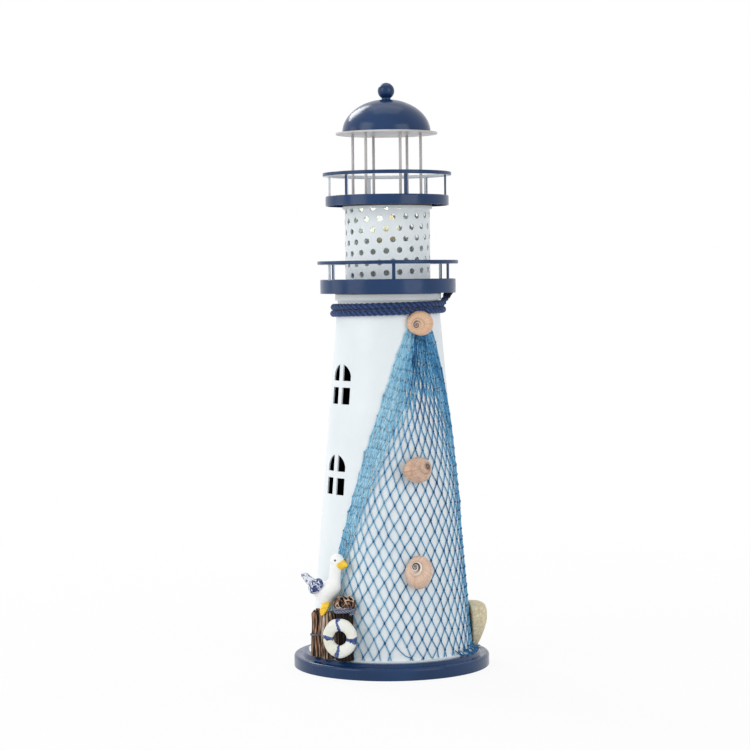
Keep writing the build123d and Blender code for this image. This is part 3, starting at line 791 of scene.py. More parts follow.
# One knot at the front has come undone, and its mesh sags
torn_azimuth, torn_z = 6.0, 12.5
torn = min(
    net_points,
    key=lambda key: abs(net_points[key][0] - torn_azimuth) + abs(net_points[key][1] - torn_z),
)
row, column = torn
sag_from, sag_to = net_points.get((row - 1, column - 1)), net_points.get((row, column + 2))
del net_points[torn]
if sag_from and sag_to:
    line = []
    for t in (0, 0.2, 0.4, 0.6, 0.8, 1.0):
        z = sag_from[1] + (sag_to[1] - sag_from[1]) * (t + 0.9 * t * (1 - t))
        line.append(net_place(sag_from[0] + (sag_to[0] - sag_from[0]) * t, z))
    strand(line, 0.45, 0.45)

for (row, column), (azimuth, z, pile_up, loose, tone) in net_points.items():
    for step in (-1, 1):
        found = net_points.get((row + 1, column + step))
        if found is None:
            continue
        next_azimuth, next_z, next_pile, _, next_tone = found
        if z < net_foot_z:
            continue
        if next_z < net_foot_z:
            # Below the last knots both strands run straight down to the flange
            next_azimuth = azimuth + (next_azimuth - azimuth) * 0.3
            next_z = net_foot_z
        line = []
        for t in (0, 0.25, 0.5, 0.75, 1.0):
            sag = 0.35 * loose * t * (1 - t)
            line.append(
                net_place(
                    azimuth + (next_azimuth - azimuth) * t,
                    z + (next_z - z) * t - sag,
                    pile_up + (next_pile - pile_up) * t,
                )
            )
        strand(line, tone, next_tone)
        if loose < under_layer:
            # Folds lie over each other where the net is gathered
            for _ in range(under_strands):
                aside = degrees(under_spread * (net_rng.random() - 0.5) / tower_radius(z))
                below = [
                    net_place(azimuth + aside + (next_azimuth - azimuth) * t, z + (next_z - z) * t)
                    for t in (0, 0.5, 1.0)
                ]
                # Painted paler than the strands over them, as painted light
                strand(below, tone + under_lit_tone, next_tone + under_lit_tone, net_strand * 1.1)
    if z < net_foot_z + 0.5:
        continue
    here = net_place(azimuth, z, pile_up)
    out = Vector((here.x, here.y, 0)).normalized()
    along = Vector((0, 0, 1)).cross(out)
    size = (0.56 + 0.1 * net_rng.random()) * (0.7 + 0.3 * loose)
    knots.ball(
        here + out * 0.1,
        (along * size, Vector((0, 0, size * 1.3)), out * size * 0.85),
        knot_rings,
        knot_sides,
    )
    knot_points = (knot_rings - 1) * knot_sides + 2
    knots.layer("tone", [tone - 0.12 - 0.2 * loose] * knot_points)

# Loose ends that lie on the base at the right
for i in range(loose_ends):
    azimuth = 50 + 66 * (i + net_rng.random()) / loose_ends
    start = around(azimuth, tower_radius(10) + 0.6, 9.6 + 3 * net_rng.random())
    reach = 1.6 + 3.0 * net_rng.random()
    swing = 2 + net_rng.random() * 7
    line = [start]
    for t in (0.3, 0.6, 0.8, 1.0):
        radius = tower_radius(10) + 0.9 + reach * t
        rest = flange_z + 0.45 if radius < 44.4 else plateau_z + 0.45
        z = max(rest, start.z - 6 * t) + 0.4 * net_rng.random() * t
        line.append(around(azimuth + swing * t, radius, z))
    strand(line, 0.3, 0.1 + 0.3 * net_rng.random(), net_strand * 1.1)


def net_paint(name):
    """Blue twine whose tone is set strand by strand."""
    paint = Paint(name, roughness=0.8, specular=0.25)
    tone = paint.attribute("tone")
    hairs = paint.range(paint.noise(2600.0, 4.0, distortion=1.5), 0.3, 0.7, -0.14, 0.14)
    tone = paint.math("ADD", tone, hairs)
    paint.put(
        "Base Color",
        paint.ramp(
            tone,
            (0.0, srgb(12, 56, 96)),
            (0.3, srgb(30, 100, 150)),
            (0.5, srgb(76, 148, 192)),
            (0.75, srgb(136, 192, 218)),
            (1.0, srgb(186, 220, 234)),
        ),
    )
    paint.put("Sheen Weight", 0.2)
    paint.bump(hairs, 0.0001, 0.5)
    return paint.material


net_piece = piece("fishing_net_strands", net, net_paint("net_twine"), "fishing_net")
knot_piece = piece("fishing_net_knots", knots, net_paint("net_knot"), "fishing_net")


# Shells: a moon snail's tube, growing as it coils, with its spire outward

shell_growth = 2.2
shell_turns = 4
shell_close = radians(150)
shell_sunk = 1.2


def snail(growth, turns, close, steps=190, sides=44):
    """A coiled shell of unit reach; past its mouth the lip closes on the whorl before."""
    tall, apex = 0.94, 1.16
    before = 0.93 * growth ** ((close - 2 * pi) / (2 * pi))
    rows = []
    layers = {"grown": [], "outer": [], "spin": []}
    start = -2 * pi * turns
    for i in range(steps + 1):
        turn = start + (close - start) * i / steps
        grown = growth ** (min(turn, 0.0) / (2 * pi))
        if turn > 0:
            ease = turn / close
            grown = 1 + (before - 1) * ease * ease * (3 - 2 * ease)
        ring = 0.46 * grown
        wide = grown - ring
        high = tall / 2 * grown
        middle = apex - (apex - tall / 2) * grown
        row = []
        for way in circle(sides):
            radius = ring + wide * cos(way)
            row.append(Vector((radius * cos(turn), -radius * sin(turn), middle + high * sin(way))))
            layers["outer"].append(cos(way))
        rows.append(row)
        layers["grown"].extend([grown if turn < 0 else 1.0] * sides)
        layers["spin"].extend([turn] * sides)
    return over_rows(rows, **layers)


def shell_paint(name, light, middle, dark, suture, spire_color, patches, spire_size):
    """Satin shell: a dark line winds into the spire, pale bands and growth lines outside."""
    paint = Paint(name, roughness=0.38, specular=0.5, coat=0.15)
    grown = paint.attribute("grown")
    outer = paint.attribute("outer")
    lines = paint.streaks(paint.attribute("spin"), 5.0, 5.0)
    bands = paint.streaks(outer, 3.2, 3.0)
    blot = paint.noise(300.0, 4.0, distortion=1.2)
    color = paint.ramp(lines, (0.35, middle), (0.62, light))
    color = paint.mix(paint.range(bands, 0.45, 0.7, 0.0, 0.5), color, dark)
    color = paint.mix(paint.range(blot, 0.5, 0.66, 0.0, patches), color, dark)
    spire = paint.range(grown, 0.9 * spire_size, 1.15 * spire_size, 1.0, 0.0)
    seam = paint.range(outer, 0.42, 0.6, 1.0, 0.0)
    color = paint.mix(paint.math("MULTIPLY", spire, 0.8), color, spire_color)
    color = paint.mix(paint.math("MULTIPLY", spire, seam), color, suture)
    far_seam = paint.range(outer, 0.0, 0.2, 0.3, 0.0)
    color = paint.mix(far_seam, color, suture)
    paint.put("Base Color", color)
    paint.put("Subsurface Weight", 0.06)
    paint.put("Subsurface Radius", (0.002, 0.001, 0.0007))
    paint.bump(lines, 0.00015, 0.25)
    return paint.material


def place_shell(name, azimuth, height, size, shift, mouth, tip, tip_way, *paint):
    """One shell of a given width, height and depth, its axis tipped, glued to the net."""
    seat = facing(azimuth, tower_radius(height) + 0.4, height, atan(cone_slope))
    way = radians(tip_way)
    tilt = Matrix.Rotation(radians(tip), 4, Vector((-sin(way), cos(way), 0)))
    turn = Matrix.Rotation(radians(mouth), 4, "Z")
    shape = snail(shell_growth, shell_turns, shell_close)
    points = np.array([tuple(tilt @ turn @ Vector(point)) for point in shape.points])
    low, high = points.min(0), points.max(0)
    points = (points - (low + high) / 2) / (high - low) * np.array(size)
    points += (*shift, size[2] / 2 - shell_sunk)
    shape.points = [tuple(off_tower(seat @ Vector(local), 0.25)) for local in points]
    piece(name + "_coiled", shape, shell_paint(name, *paint), name)


place_shell(
    "shell_top", 33.5, 181.6, (12.6, 13.0, 10.0), (-1.2, 0), 20, 44, 184,
    srgb(226, 190, 158), srgb(210, 166, 130), srgb(196, 142, 108),
    srgb(104, 82, 74), srgb(224, 198, 174), 0.3, 0.42,
)
place_shell(
    "shell_middle", 24.0, 106.2, (17.6, 13.4, 10.6), (-1.4, 0), 210, 36, 10,
    srgb(220, 190, 168), srgb(192, 152, 124), srgb(156, 110, 82),
    srgb(52, 37, 30), srgb(142, 104, 82), 0.4, 0.36,
)
place_shell(
    "shell_bottom", 21.0, 54.2, (13.4, 17.2, 10.6), (-1.1, -0.5), -84, 42, 150,
    srgb(224, 196, 174), srgb(208, 174, 150), srgb(194, 152, 124),
    srgb(66, 46, 37), srgb(246, 238, 228), 0.3, 0.44,
)


# Cockle: a ribbed half shell, hinge down, its hollow against the tower

cockle_height = 23.4
cockle_width = 24.0
cockle_depth = 9.4
cockle_azimuth = 97.0


def cockle_mesh():
    """Bowed slices as in the CAD source, with ribs that fan out from the hinge."""
    seat = facing(
        cockle_azimuth, tower_radius(flange_z) + 0.9, flange_z + glue_gap, atan(cone_slope)
    )
    slices, sides = 60, 72
    rows, growth = [], []
    for i in range(slices + 1):
        share = sin(pi / 2 * i / slices)
        swell = sin(pi * (0.1 + 0.55 * share))
        swell = max(swell * sqrt(max(1 - share**24, 0.0)), 0.05)
        row = []
        for j in range(sides + 1):
            turn = pi * j / sides
            x = cockle_width / 2 * swell * cos(turn)
            y = cockle_height * share
            z = cockle_depth * swell * sin(turn) ** 0.9
            fan = atan2(x, y + 3.0)
            reach = sqrt(x * x + (y + 1.0) ** 2)
            rib = 0.16 * cos(fan * 34) * min(1.0, share * 3) * sin(turn)
            ring = 0.14 * wobble((reach * 0.9, 0, 0), 1.0, 3.0) * sin(turn)
            lumps = 0.3 * wobble((x * 0.16, y * 0.16, 2.0), 1.0, 6.0) * sin(turn)
            row.append(seat @ Vector((x, y, max(z + rib + ring + lumps, 0.0))))
            growth.append(reach / 26)
        rows.append(row)
    return over_rows(rows, growth=growth)


sand_paint = Paint("sand_shell", roughness=0.75, specular=0.3)
sand = sand_paint.noise(520.0, 5.0)
sandy = sand_paint.ramp(
    sand, (0.3, srgb(196, 182, 148)), (0.5, srgb(220, 208, 176)), (0.72, srgb(238, 230, 206))
)
growth_lines = sand_paint.streaks(sand_paint.attribute("growth"), 16.0, 5.0)
faint_lines = sand_paint.range(growth_lines, 0.42, 0.68, 0.0, 0.5)
sand_paint.put("Base Color", sand_paint.mix(faint_lines, sandy, srgb(192, 176, 138)))
sand_paint.bump(sand, 0.0002, 0.5)
piece("cockle_ribbed", cockle_mesh(), sand_paint.material, "cockle")


# Mooring piles: fluted bark, and a head of frayed fibres on the right one

pile_circle = 44.6
left_pile_azimuth = -58.3
middle_pile_azimuth = -46.6
right_pile_azimuth = -32.6
right_pile_radius = 4.9
head_fibres = 150


def pile_shape(azimuth, profile, seed, strokes, rough_top, shade=1.0):
    """One log: its profile is radius over height, its bark runs in ridges up to the middle."""
    foot = around(azimuth, pile_circle, 0)
    sides, levels = 110, 12
    rows, ridge = [], []
    run = [0.0]
    for (r0, z0), (r1, z1) in zip(profile, profile[1:]):
        run.append(run[-1] + sqrt((r1 - r0) ** 2 + (z1 - z0) ** 2))
    stops = np.linspace(0, run[-1], levels * (len(profile) - 1) + 1)
    radii = np.interp(stops, run, [r for r, _ in profile])
    heights = np.interp(stops, run, [z for _, z in profile])
    top = max(z for _, z in profile)
    for radius, height, along in zip(radii, heights, stops):
        row = []
        for turn in circle(sides):
            ring = (cos(turn), sin(turn))
            bend = 1.6 * wobble((ring[0] * 0.8, ring[1] * 0.8, along * 0.09), 1.0, seed + 3)
            groove = abs(sin(turn * strokes / 2 + bend))
            patch = wobble((ring[0] * 2.6, ring[1] * 2.6, along * 0.1), 1.0, seed)
            fine = wobble((ring[0] * 9, ring[1] * 9, along * 0.22), 1.0, seed + 7)
            bump = 0.55 * (groove - 0.6) + 0.42 * patch + 0.2 * fine
            lump = radius + bump * min(1.0, radius / 2.5)
            lift = rough_top * patch * clamp((height - top + 4) / 4, 0.0, 1.0)
            at = foot + Vector((ring[0] * lump, ring[1] * lump, height + lift))
            row.append(off_tower(at, 0.3))
            tone = clamp(0.3 + 0.55 * groove + 0.35 * patch + 0.3 * fine, 0.0, 1.0)
            ridge.append(tone * shade)
        rows.append(row)
    return over_rows(rows, ridge=ridge)


def bark_paint(name, light, tan, brown, black):
    """Painted bark: black in its grooves, tan and orange strokes on its ridges."""
    paint = Paint(name, roughness=0.75, specular=0.25)
    ridge = paint.attribute("ridge")
    strokes = paint.noise(1000.0, 4.0, (1, 1, 0.14), distortion=0.6)
    height = paint.math(
        "ADD", paint.math("MULTIPLY", ridge, 0.7), paint.math("MULTIPLY", strokes, 0.4)
    )
    paint.put(
        "Base Color",
        paint.ramp(height, (0.54, black), (0.66, brown), (0.8, tan), (0.95, light)),
    )
    paint.bump(strokes, 0.0004, 0.7)
    return paint.material


def fibre(shape, line, radius, ridge):
    """One tapered fibre of bark along a line."""
    shape.tube(line, lambda t: radius * (1 - 0.6 * abs(2 * t - 1) ** 2), 6)
    shape.layer("ridge", [ridge] * (6 * len(line)))


def splinters(shape, azimuth, radius, low, high, count, seed):
    """Broken wood that stands up round a pile's top."""
    rng = np.random.default_rng(seed)
    foot = around(azimuth, pile_circle, 0)
    for i in range(count):
        turn = 2 * pi * (i + 0.6 * rng.random()) / count
        reach = radius * (0.35 + 0.55 * rng.random())
        top = low + (high - low) * rng.random()
        line = []
        for t in (0, 0.3, 0.6, 0.85, 1.0):
            out = reach * (1 - 0.12 * t)
            at = foot + Vector((cos(turn) * out, sin(turn) * out, low - 3 + (top - low + 3) * t))
            line.append(off_tower(at, 1.0))
        fibre(shape, line, 0.75, 0.45 + 0.5 * rng.random())


def frayed_head(shape, azimuth, profile, seed):
    """Short fibres that lie every way over a pile's head."""
    rng = np.random.default_rng(seed)
    foot = around(azimuth, pile_circle, 0)
    shares = np.linspace(0, 1, len(profile))
    for i in range(head_fibres):
        share = 0.04 + 0.9 * sqrt((i + rng.random()) / head_fibres)
        turn = 2.4 * i + 0.5 * rng.random()
        way = rng.normal() * 0.5
        reach = 1.4 + 1.0 * rng.random()
        ridge = 0.35 + 0.75 * rng.random()
        line = []
        for t in np.linspace(-1, 1, 5):
            at_share = clamp(share + 0.1 * reach * t * cos(way), 0.0, 1.0)
            lift = 0.1 + 0.35 * (1 - t * t)
            radius = np.interp(at_share, shares, [r for r, _ in profile]) + lift
            height = np.interp(at_share, shares, [z for _, z in profile]) + lift
            angle = turn + reach * t * sin(way) / max(radius, 1.2)
            at = foot + Vector((cos(angle) * radius, sin(angle) * radius, height))
            line.append(off_tower(at, 0.7))
        fibre(shape, line, 0.3, ridge)


def pile_piece(name, shape, *colors):
    """The piece of one pile."""
    paint = bark_paint("bark_" + name, *colors)
    piece(f"pile_{name}_bark", shape, paint, "pile_" + name)


left_pile = pile_shape(
    left_pile_azimuth,
    ((4.2, 8.6), (3.7, 18), (3.6, 27), (3.5, 30.5), (2.8, 31.4), (1.4, 31.2), (0.2, 31.0)),
    1.7, 11, 0.8,
)
splinters(left_pile, left_pile_azimuth, 3.7, 31.6, 33.9, 13, 3)
pile_piece(
    "left", left_pile,
    srgb(214, 196, 180), srgb(152, 112, 86), srgb(78, 56, 44), srgb(20, 16, 14),
)
middle_pile = pile_shape(
    middle_pile_azimuth,
    ((4.0, 8.6), (4.0, 20), (4.1, 31.0), (3.6, 32.4), (2.0, 32.8), (0.2, 32.8)),
    4.1, 12, 0.5,
)
splinters(middle_pile, middle_pile_azimuth, 4.0, 31.8, 33.2, 9, 8)
pile_piece(
    "middle", middle_pile,
    srgb(226, 212, 198), srgb(184, 160, 140), srgb(116, 92, 76), srgb(40, 31, 26),
)
head_profile = (
    (0.3, 41.3), (2.2, 41.2), (3.8, 40.4), (4.9, 39.0), (5.2, 37.4), (4.8, 35.8), (4.3, 34.8)
)
right_pile = pile_shape(
    right_pile_azimuth,
    ((4.5, 8.6), (4.2, 22), (4.1, 33.6), *reversed(head_profile)),
    8.3, 16, 0.3, 0.66,
)
frayed_head(right_pile, right_pile_azimuth, head_profile, 6)
pile_piece(
    "right", right_pile,
    srgb(232, 208, 184), srgb(164, 126, 100), srgb(62, 45, 36), srgb(16, 12, 10),
)


# Twine bands round two piles


def band(name, azimuth, radius, height, turns, pitch, thick, tilt, *colors):
    """Twine wound round a pile, kept out of the tower."""
    middle = around(azimuth, pile_circle, height)
    steps = int(90 * turns)
    line = []
    for i in range(steps + 1):
        turn = 2 * pi * turns * i / steps - radians(azimuth) - pi / 2
        at = middle + Vector((cos(turn), sin(turn), 0)) * (radius + thick * 0.6)
        at.z += pitch * turns * (i / steps - 0.5) + tilt * cos(turn)
        line.append(off_tower(at, thick + 0.25))
    shape, _ = laid_rope(line, thick, 4.4 * thick, 18)
    # The last colour is the painted shade between the strands
    light, middle_color, dark, valley_shade = colors
    paint = twine_paint(name, light, middle_color, dark, 2400.0, valley_shade)
    piece(name + "_twine", shape, paint, name)


band(
    "band_left", left_pile_azimuth, 3.75, 20.0, 1.03, 0.3, 0.6, 0.3,
    srgb(178, 182, 192), srgb(118, 122, 134), srgb(70, 72, 84), srgb(38, 38, 46),
)
band(
    "band_right", right_pile_azimuth, 4.1, 34.6, 2.03, 1.7, 0.9, 0.1,
    srgb(216, 218, 232), srgb(136, 142, 168), srgb(64, 70, 104), srgb(16, 18, 40),
)


# Life ring: cream resin with four navy bands and a slightly hand-made outline

ring_turn = radians(-12.0)
ring_z = 21.2
ring_left = 0.9
ring_gap = 0.3
# Middle radius and half section, across and upright, and half depth
ring_across = (6.2, 2.75)
ring_upright = (6.95, 3.25)
ring_depth = 2.1
ring_out = Vector((sin(ring_turn), -cos(ring_turn), 0))
ring_middle = around(right_pile_azimuth, pile_circle, ring_z)
ring_middle += ring_out * (right_pile_radius + ring_gap + ring_depth)
ring_middle.x -= ring_left
ring_frame = frame_at(ring_middle, (cos(ring_turn), sin(ring_turn), 0), ring_out)


def ring_mesh():
    """An oval ring, dented as by hand."""
    shape = Shape()
    steps, sides = 128, 36
    rows = []
    for turn in circle(steps):
        dent = 1 + 0.012 * sin(3 * turn + 0.7) + 0.008 * sin(7 * turn)
        row = []
        for section in circle(sides):
            across = (ring_across[0] + ring_across[1] * cos(section)) * dent
            upright = (ring_upright[0] + ring_upright[1] * cos(section)) * dent
            lift = ring_depth * sin(section) * (1 + 0.04 * sin(5 * turn + section))
            row.append(ring_frame @ Vector((across * cos(turn), upright * sin(turn), lift)))
        rows.append(row)
    shape.grid(rows, closed_column=True)
    return shape


ring_paint = Paint("ring_paint", roughness=0.5, specular=0.4, coat=0.1)
cream = ring_paint.clouded(160.0, 4.0, srgb(226, 224, 202), srgb(236, 237, 231), 0.34, 0.62)
local = ring_paint.add("ShaderNodeSeparateXYZ", {0: ring_paint.coords()})
angle = ring_paint.math("ARCTAN2", local.node.outputs[1], local.node.outputs[0])
waver = ring_paint.range(ring_paint.noise(330.0, 3.0), 0.3, 0.7, -0.16, 0.16)
angle = ring_paint.math("ADD", angle, waver)
stripe = None
for middle, half in ((97, 9.5), (180, 10.5), (260, 9.5), (-4, 11.0)):
    away = ring_paint.math("SUBTRACT", angle, radians(middle))
    away = ring_paint.math("WRAP", away, pi)
    away.node.inputs[2].default_value = -pi
    away = ring_paint.math("ABSOLUTE", away)
    mark = ring_paint.range(away, radians(half) - 0.03, radians(half) + 0.03, 1.0, 0.0)
    stripe = mark if stripe is None else ring_paint.math("MAXIMUM", stripe, mark)
brush = ring_paint.clouded(620.0, 3.0, srgb(30, 50, 106), srgb(86, 110, 168), 0.36, 0.7)
ring_paint.put("Base Color", ring_paint.mix(stripe, cream, brush))
ring_paint.bump(ring_paint.noise(260.0, 3.0), 0.0004, 0.35)
piece(
    "life_ring_cast", ring_mesh(), ring_paint.material, "life_ring", place=ring_frame
)


# Gull: a resin cast, perched on the middle pile

gull_length = 26.0
gull_way = radians(20.0)
gull_azimuth = -47.6
gull_radius = 47.2
gull_z = 45.0
gull_frame = frame_at(
    around(gull_azimuth, gull_radius, gull_z),
    (cos(gull_way), -sin(gull_way), 0),
    (-sin(gull_way), -cos(gull_way), 0),
)


def oval(along, up, side, half_height, half_width, pitch, sides=28):
    """Oval slice of the gull, square to a line of that pitch, in shares of its length."""
    turn = radians(pitch)
    rise = Vector((-sin(turn), cos(turn), 0))
    made = []
    for angle in circle(sides):
        local = Vector((along, up, side))
        local += rise * half_height * sin(angle) + Vector((0, 0, 1)) * half_width * cos(angle)
        made.append(gull_frame @ (local * gull_length))
    return made


def smooth_slices(slices, steps=5):
    """More slices between the given ones, on a smooth curve through them."""
    slices = np.array(slices, float)
    made = []
    for i in range(len(slices) - 1):
        p0 = slices[max(i - 1, 0)]
        p1, p2 = slices[i], slices[i + 1]
        p3 = slices[min(i + 2, len(slices) - 1)]
        for k in range(steps):
            t = k / steps
            made.append(
                0.5
                * (
                    2 * p1
                    + (p2 - p0) * t
                    + (2 * p0 - 5 * p1 + 4 * p2 - p3) * t**2
                    + (3 * p1 - p0 - 3 * p2 + p3) * t**3
                )
            )
    made.append(slices[-1])
    return made


def gull_loft(shape, *slices):
    """A form of the gull through slices."""
    shape.grid([oval(*slice) for slice in smooth_slices(slices)])


def gull_ball(shape, along, up, side, size, squash=(1, 1, 1), rings=10, sides=14):
    """A ball on the gull, in shares of its length."""
    axes = [
        gull_frame.to_3x3() @ Vector(axis) * gull_length * size * share
        for axis, share in zip(((1, 0, 0), (0, 1, 0), (0, 0, 1)), squash)
    ]
    shape.ball(gull_frame @ (Vector((along, up, side)) * gull_length), axes, rings, sides)


def gull_piece(name, shape, material):
    """One piece of the gull."""
    piece(name, shape, material, "gull")


gull_body = Shape()
# Trunk, back, head and brow
gull_loft(
    gull_body,
    (0.050, -0.335, 0, 0.060, 0.060, 90),
    (0.050, -0.300, 0, 0.105, 0.096, 90),
    (0.035, -0.215, 0, 0.158, 0.152, 90),
    (0.075, -0.085, 0, 0.234, 0.202, 92),
    (0.152, 0.060, 0, 0.200, 0.190, 84),
    (0.222, 0.190, 0, 0.124, 0.124, 84),
    (0.248, 0.345, 0, 0.116, 0.108, 86),
    (0.276, 0.500, 0, 0.122, 0.110, 88),
)
gull_loft(
    gull_body,
    (0.060, -0.050, 0, 0.200, 0.185, -40),
    (-0.110, 0.010, 0, 0.180, 0.165, -34),
    (-0.240, 0.090, 0, 0.100, 0.110, -40),
    (-0.330, 0.170, 0, 0.040, 0.070, -44),
)
gull_ball(gull_body, 0.290, 0.562, 0, 0.142, (1.0, 1.05, 0.92), 12, 18)
gull_loft(
    gull_body,
    (0.290, 0.560, 0, 0.122, 0.105, -8),
    (0.350, 0.540, 0, 0.108, 0.098, -12),
    (0.400, 0.514, 0, 0.076, 0.076, -16),
)
gull_white = resin(
    "gull_white", 210.0, 4.0, (240, 240, 237), (250, 250, 248),
    roughness=0.5, specular=0.4, coat=0.1,
)
gull_white.bump(gull_white.noise(320.0, 3.0), 0.0003, 0.35)
gull_piece("gull_body", remeshed(gull_body, "gull_body", 0.32, 5), gull_white.material)


def fleck_paint(name, share):
    """White resin dabbed with blue; the share sets how much of it is blue."""
    paint = Paint(name, roughness=0.55, specular=0.35)
    flecks = paint.noise(620.0, 3.0, distortion=1.2)
    paint.put(
        "Base Color",
        paint.ramp(
            flecks,
            (share - 0.1, srgb(40, 55, 102)),
            (share - 0.03, srgb(86, 106, 156)),
            (share + 0.03, srgb(206, 212, 224)),
            (share + 0.1, srgb(238, 239, 241)),
        ),
    )
    paint.bump(flecks, 0.0006, 0.7)
    return paint.material


gull_wings = Shape()
for side, lower, size in ((-1, 0.08, 0.7), (1, 0.0, 1.0)):
    gull_loft(
        gull_wings,
        (0.050, 0.095 - lower, 0.165 * side, 0.030 * size, 0.020, -14),
        (0.010, 0.090 - lower, 0.185 * side, 0.110 * size, 0.046, -14),
        (-0.050, 0.080 - lower, 0.196 * side, 0.158 * size, 0.060, -16),
        (-0.110, 0.072 - lower, 0.196 * side, 0.170 * size, 0.062, -18),
        (-0.170, 0.070 - lower, 0.186 * side, 0.146 * size, 0.058, -20),
        (-0.222, 0.074 - lower, 0.168 * side, 0.100 * size, 0.046, -22),
        (-0.255, 0.080 - lower, 0.150 * side, 0.036 * size, 0.020, -22),
    )
gull_piece(
    "gull_wings", remeshed(gull_wings, "gull_wings", 0.3, 2), fleck_paint("gull_wings", 0.555)
)
gull_tail = Shape()
gull_loft(
    gull_tail,
    (-0.190, 0.060, 0, 0.098, 0.115, -40),
    (-0.280, 0.130, 0, 0.088, 0.112, -43),
    (-0.360, 0.205, 0, 0.078, 0.104, -46),
    (-0.425, 0.262, 0, 0.062, 0.086, -48),
    (-0.458, 0.288, 0, 0.026, 0.050, -48),
)
gull_piece("gull_tail", remeshed(gull_tail, "gull_tail", 0.3, 2), fleck_paint("gull_tail", 0.45))

gull_yellow = resin(
    "gull_yellow", 420.0, 3.0, (244, 190, 16), (255, 216, 36), roughness=0.4, coat=0.2
)
gull_yellow.bump(gull_yellow.noise(600.0, 3.0), 0.0002, 0.3)
gull_beak = Shape()
gull_loft(
    gull_beak,
    (0.318, 0.504, 0, 0.040, 0.112, 0),
    (0.334, 0.504, 0, 0.086, 0.122, -4),
    (0.370, 0.502, 0, 0.104, 0.112, -8),
    (0.412, 0.496, 0, 0.098, 0.088, -12),
    (0.455, 0.484, 0, 0.068, 0.058, -16),
    (0.495, 0.474, 0, 0.034, 0.028, -20),
    (0.508, 0.470, 0, 0.010, 0.010, -20),
)
gull_piece("gull_beak", gull_beak, gull_yellow.material)

gull_feet = Shape()
# The near foot hangs clear of the pile's front
middle_pile_radius = 4.2
foot_gap = 0.9
foot_side = (pile_circle + middle_pile_radius + foot_gap - gull_radius) / gull_length
for side, low, high in ((foot_side + 0.022, -0.520, -0.262), (-0.077, -0.440, -0.250)):
    rows = []
    for i in range(13):
        t = i / 12
        up = high + (low - high) * t
        along = 0.086 - 0.074 * t
        wide = 0.098 * sin(pi * (0.22 + 0.72 * t)) ** 0.75
        thick = 0.024 + 0.006 * cos(6 * pi * t)
        rows.append(oval(along, up, side, wide, thick, 106, 20))
    gull_feet.grid(rows)
gull_piece("gull_feet", gull_feet, gull_yellow.material)

gull_eyes = Shape()
for side in (-1, 1):
    gull_ball(gull_eyes, 0.294, 0.586, 0.116 * side, 0.026, (1, 1, 0.8), 8, 12)
gull_eye = resin("gull_eye", 900.0, 2.0, (12, 12, 14), (30, 30, 34), roughness=0.2, coat=0.5)
gull_piece("gull_eyes", gull_eyes, gull_eye.material)


# Stage: pale floor, white background, soft light, camera


def white_to_the_eye(nodes, lit, plain, output, share=1.0):
    """Rays that show the background meet plain white, by a share; all others the lit shader."""
    path = nodes.tree.nodes.new("ShaderNodeLightPath")
    seen = path.outputs["Is Camera Ray"]
    for ray in ("Is Glossy Ray", "Is Transmission Ray"):
        seen = nodes.math("MAXIMUM", seen, path.outputs[ray])
    seen = nodes.math("MULTIPLY", seen, share)
    either = nodes.add("ShaderNodeMixShader", {0: seen, 1: lit, 2: plain})
    nodes.link(nodes.tree.nodes[output].inputs["Surface"], either)


pure_white = (1, 1, 1, 1)
world = bpy.data.worlds.new("studio")
scene.world = world
world.use_nodes = True
sky = Nodes(world.node_tree)
soft_light = sky.tree.nodes["Background"]
soft_light.inputs["Color"].default_value = (0.97, 0.985, 1.0, 1.0)
soft_light.inputs["Strength"].default_value = 0.64
backdrop = sky.add("ShaderNodeBackground", {"Color": pure_white, "Strength": 1.0})
white_to_the_eye(sky, soft_light.outputs[0], backdrop, "World Output")

floor_mesh = bpy.data.meshes.new("floor")
floor_form = bmesh.new()
bmesh.ops.create_circle(floor_form, cap_ends=True, radius=6.0, segments=96)
floor_form.to_mesh(floor_mesh)
floor_form.free()
floor = bpy.data.objects.new("floor", floor_mesh)
floor.location.z = -0.0001
scene.collection.objects.link(floor)
floor_paint = Paint("floor_white", roughness=0.9, specular=0.1)
floor_paint.put("Base Color", (0.78, 0.78, 0.78, 1))
shine = floor_paint.add("ShaderNodeEmission", {"Color": pure_white, "Strength": 1.0})
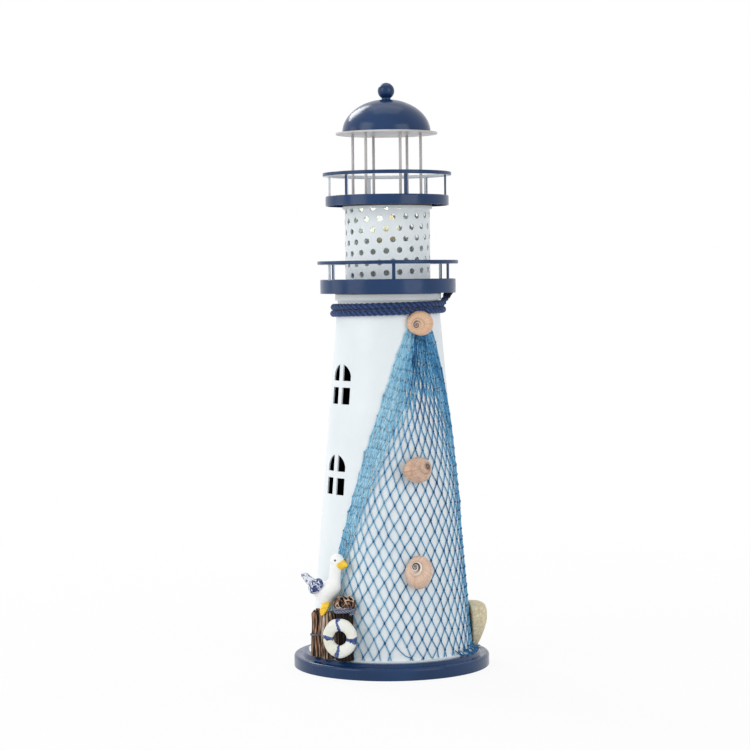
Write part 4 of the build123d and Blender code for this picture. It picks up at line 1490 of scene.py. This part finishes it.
# The floor shows the object's shadow near it and fades into the background further off
away = floor_paint.add(
    "ShaderNodeVectorMath", {0: floor_paint.coords()}, out="Value", operation="LENGTH"
)
fade = floor_paint.range(away, 0.1, 0.6, 0.9, 1.0)
white_to_the_eye(floor_paint, floor_paint.shader.outputs[0], shine, "Material Output", fade)
floor_mesh.materials.append(floor_paint.material)


def hang(light, place, aim):
    """A lamp at a place, turned to what it lights."""
    made = bpy.data.objects.new(light.name, light)
    scene.collection.objects.link(made)
    made.location = place
    made.rotation_euler = (Vector(aim) - Vector(place)).to_track_quat("-Z", "Y").to_euler()


for name, place, aim_z, width, height, power in (
    ("key", (-1.25, -0.85, 0.7), 0.15, 0.9, 1.1, 7.0),
    ("fill", (1.1, -1.2, 0.6), 0.15, 1.0, 1.0, 6.2),
    ("top", (0.0, 0.2, 1.6), 0.15, 1.0, 1.0, 3.0),
    ("window", (-0.64, 0.88, 1.05), 0.2, 0.55, 0.55, 6.6),
    ("side", (-1.3, 0.15, 0.25), 0.15, 0.5, 0.8, 1.3),
):
    light = bpy.data.lights.new(name, "AREA")
    light.shape = "RECTANGLE"
    light.size, light.size_y = width, height
    light.energy = power
    hang(light, place, (0, 0, aim_z))
# The tea light's glow on the drum's back wall
lantern = bpy.data.lights.new("lantern", "SPOT")
lantern.energy = 0.05
lantern.color = (1.0, 0.98, 0.72)
lantern.shadow_soft_size = 0.002
lantern.spot_size = radians(54)
lantern.spot_blend = 0.6
hang(lantern, (-0.002, -0.012, 0.242), (-0.005, 0.0217, 0.2395))

# The photograph's camera: focal length in its pixels, place in metres, angles in degrees
picture_pixels = 750
focal_pixels = 2124
eye_place = (0, -1.127, 0.2055)
eye_turn = 0.375
eye_dip = 2.61
eye_roll = -0.6
camera = bpy.data.cameras.new("camera")
camera.sensor_width = 36.0
camera.lens = focal_pixels / picture_pixels * camera.sensor_width
camera.clip_start = 0.05
eye = bpy.data.objects.new("camera", camera)
scene.collection.objects.link(eye)
eye.matrix_world = (
    Matrix.Translation(eye_place)
    @ Matrix.Rotation(radians(eye_turn), 4, "Z")
    @ Matrix.Rotation(radians(90 - eye_dip), 4, "X")
    @ Matrix.Rotation(radians(eye_roll), 4, "Z")
)
scene.camera = eye

scene.view_settings.view_transform = "Standard"
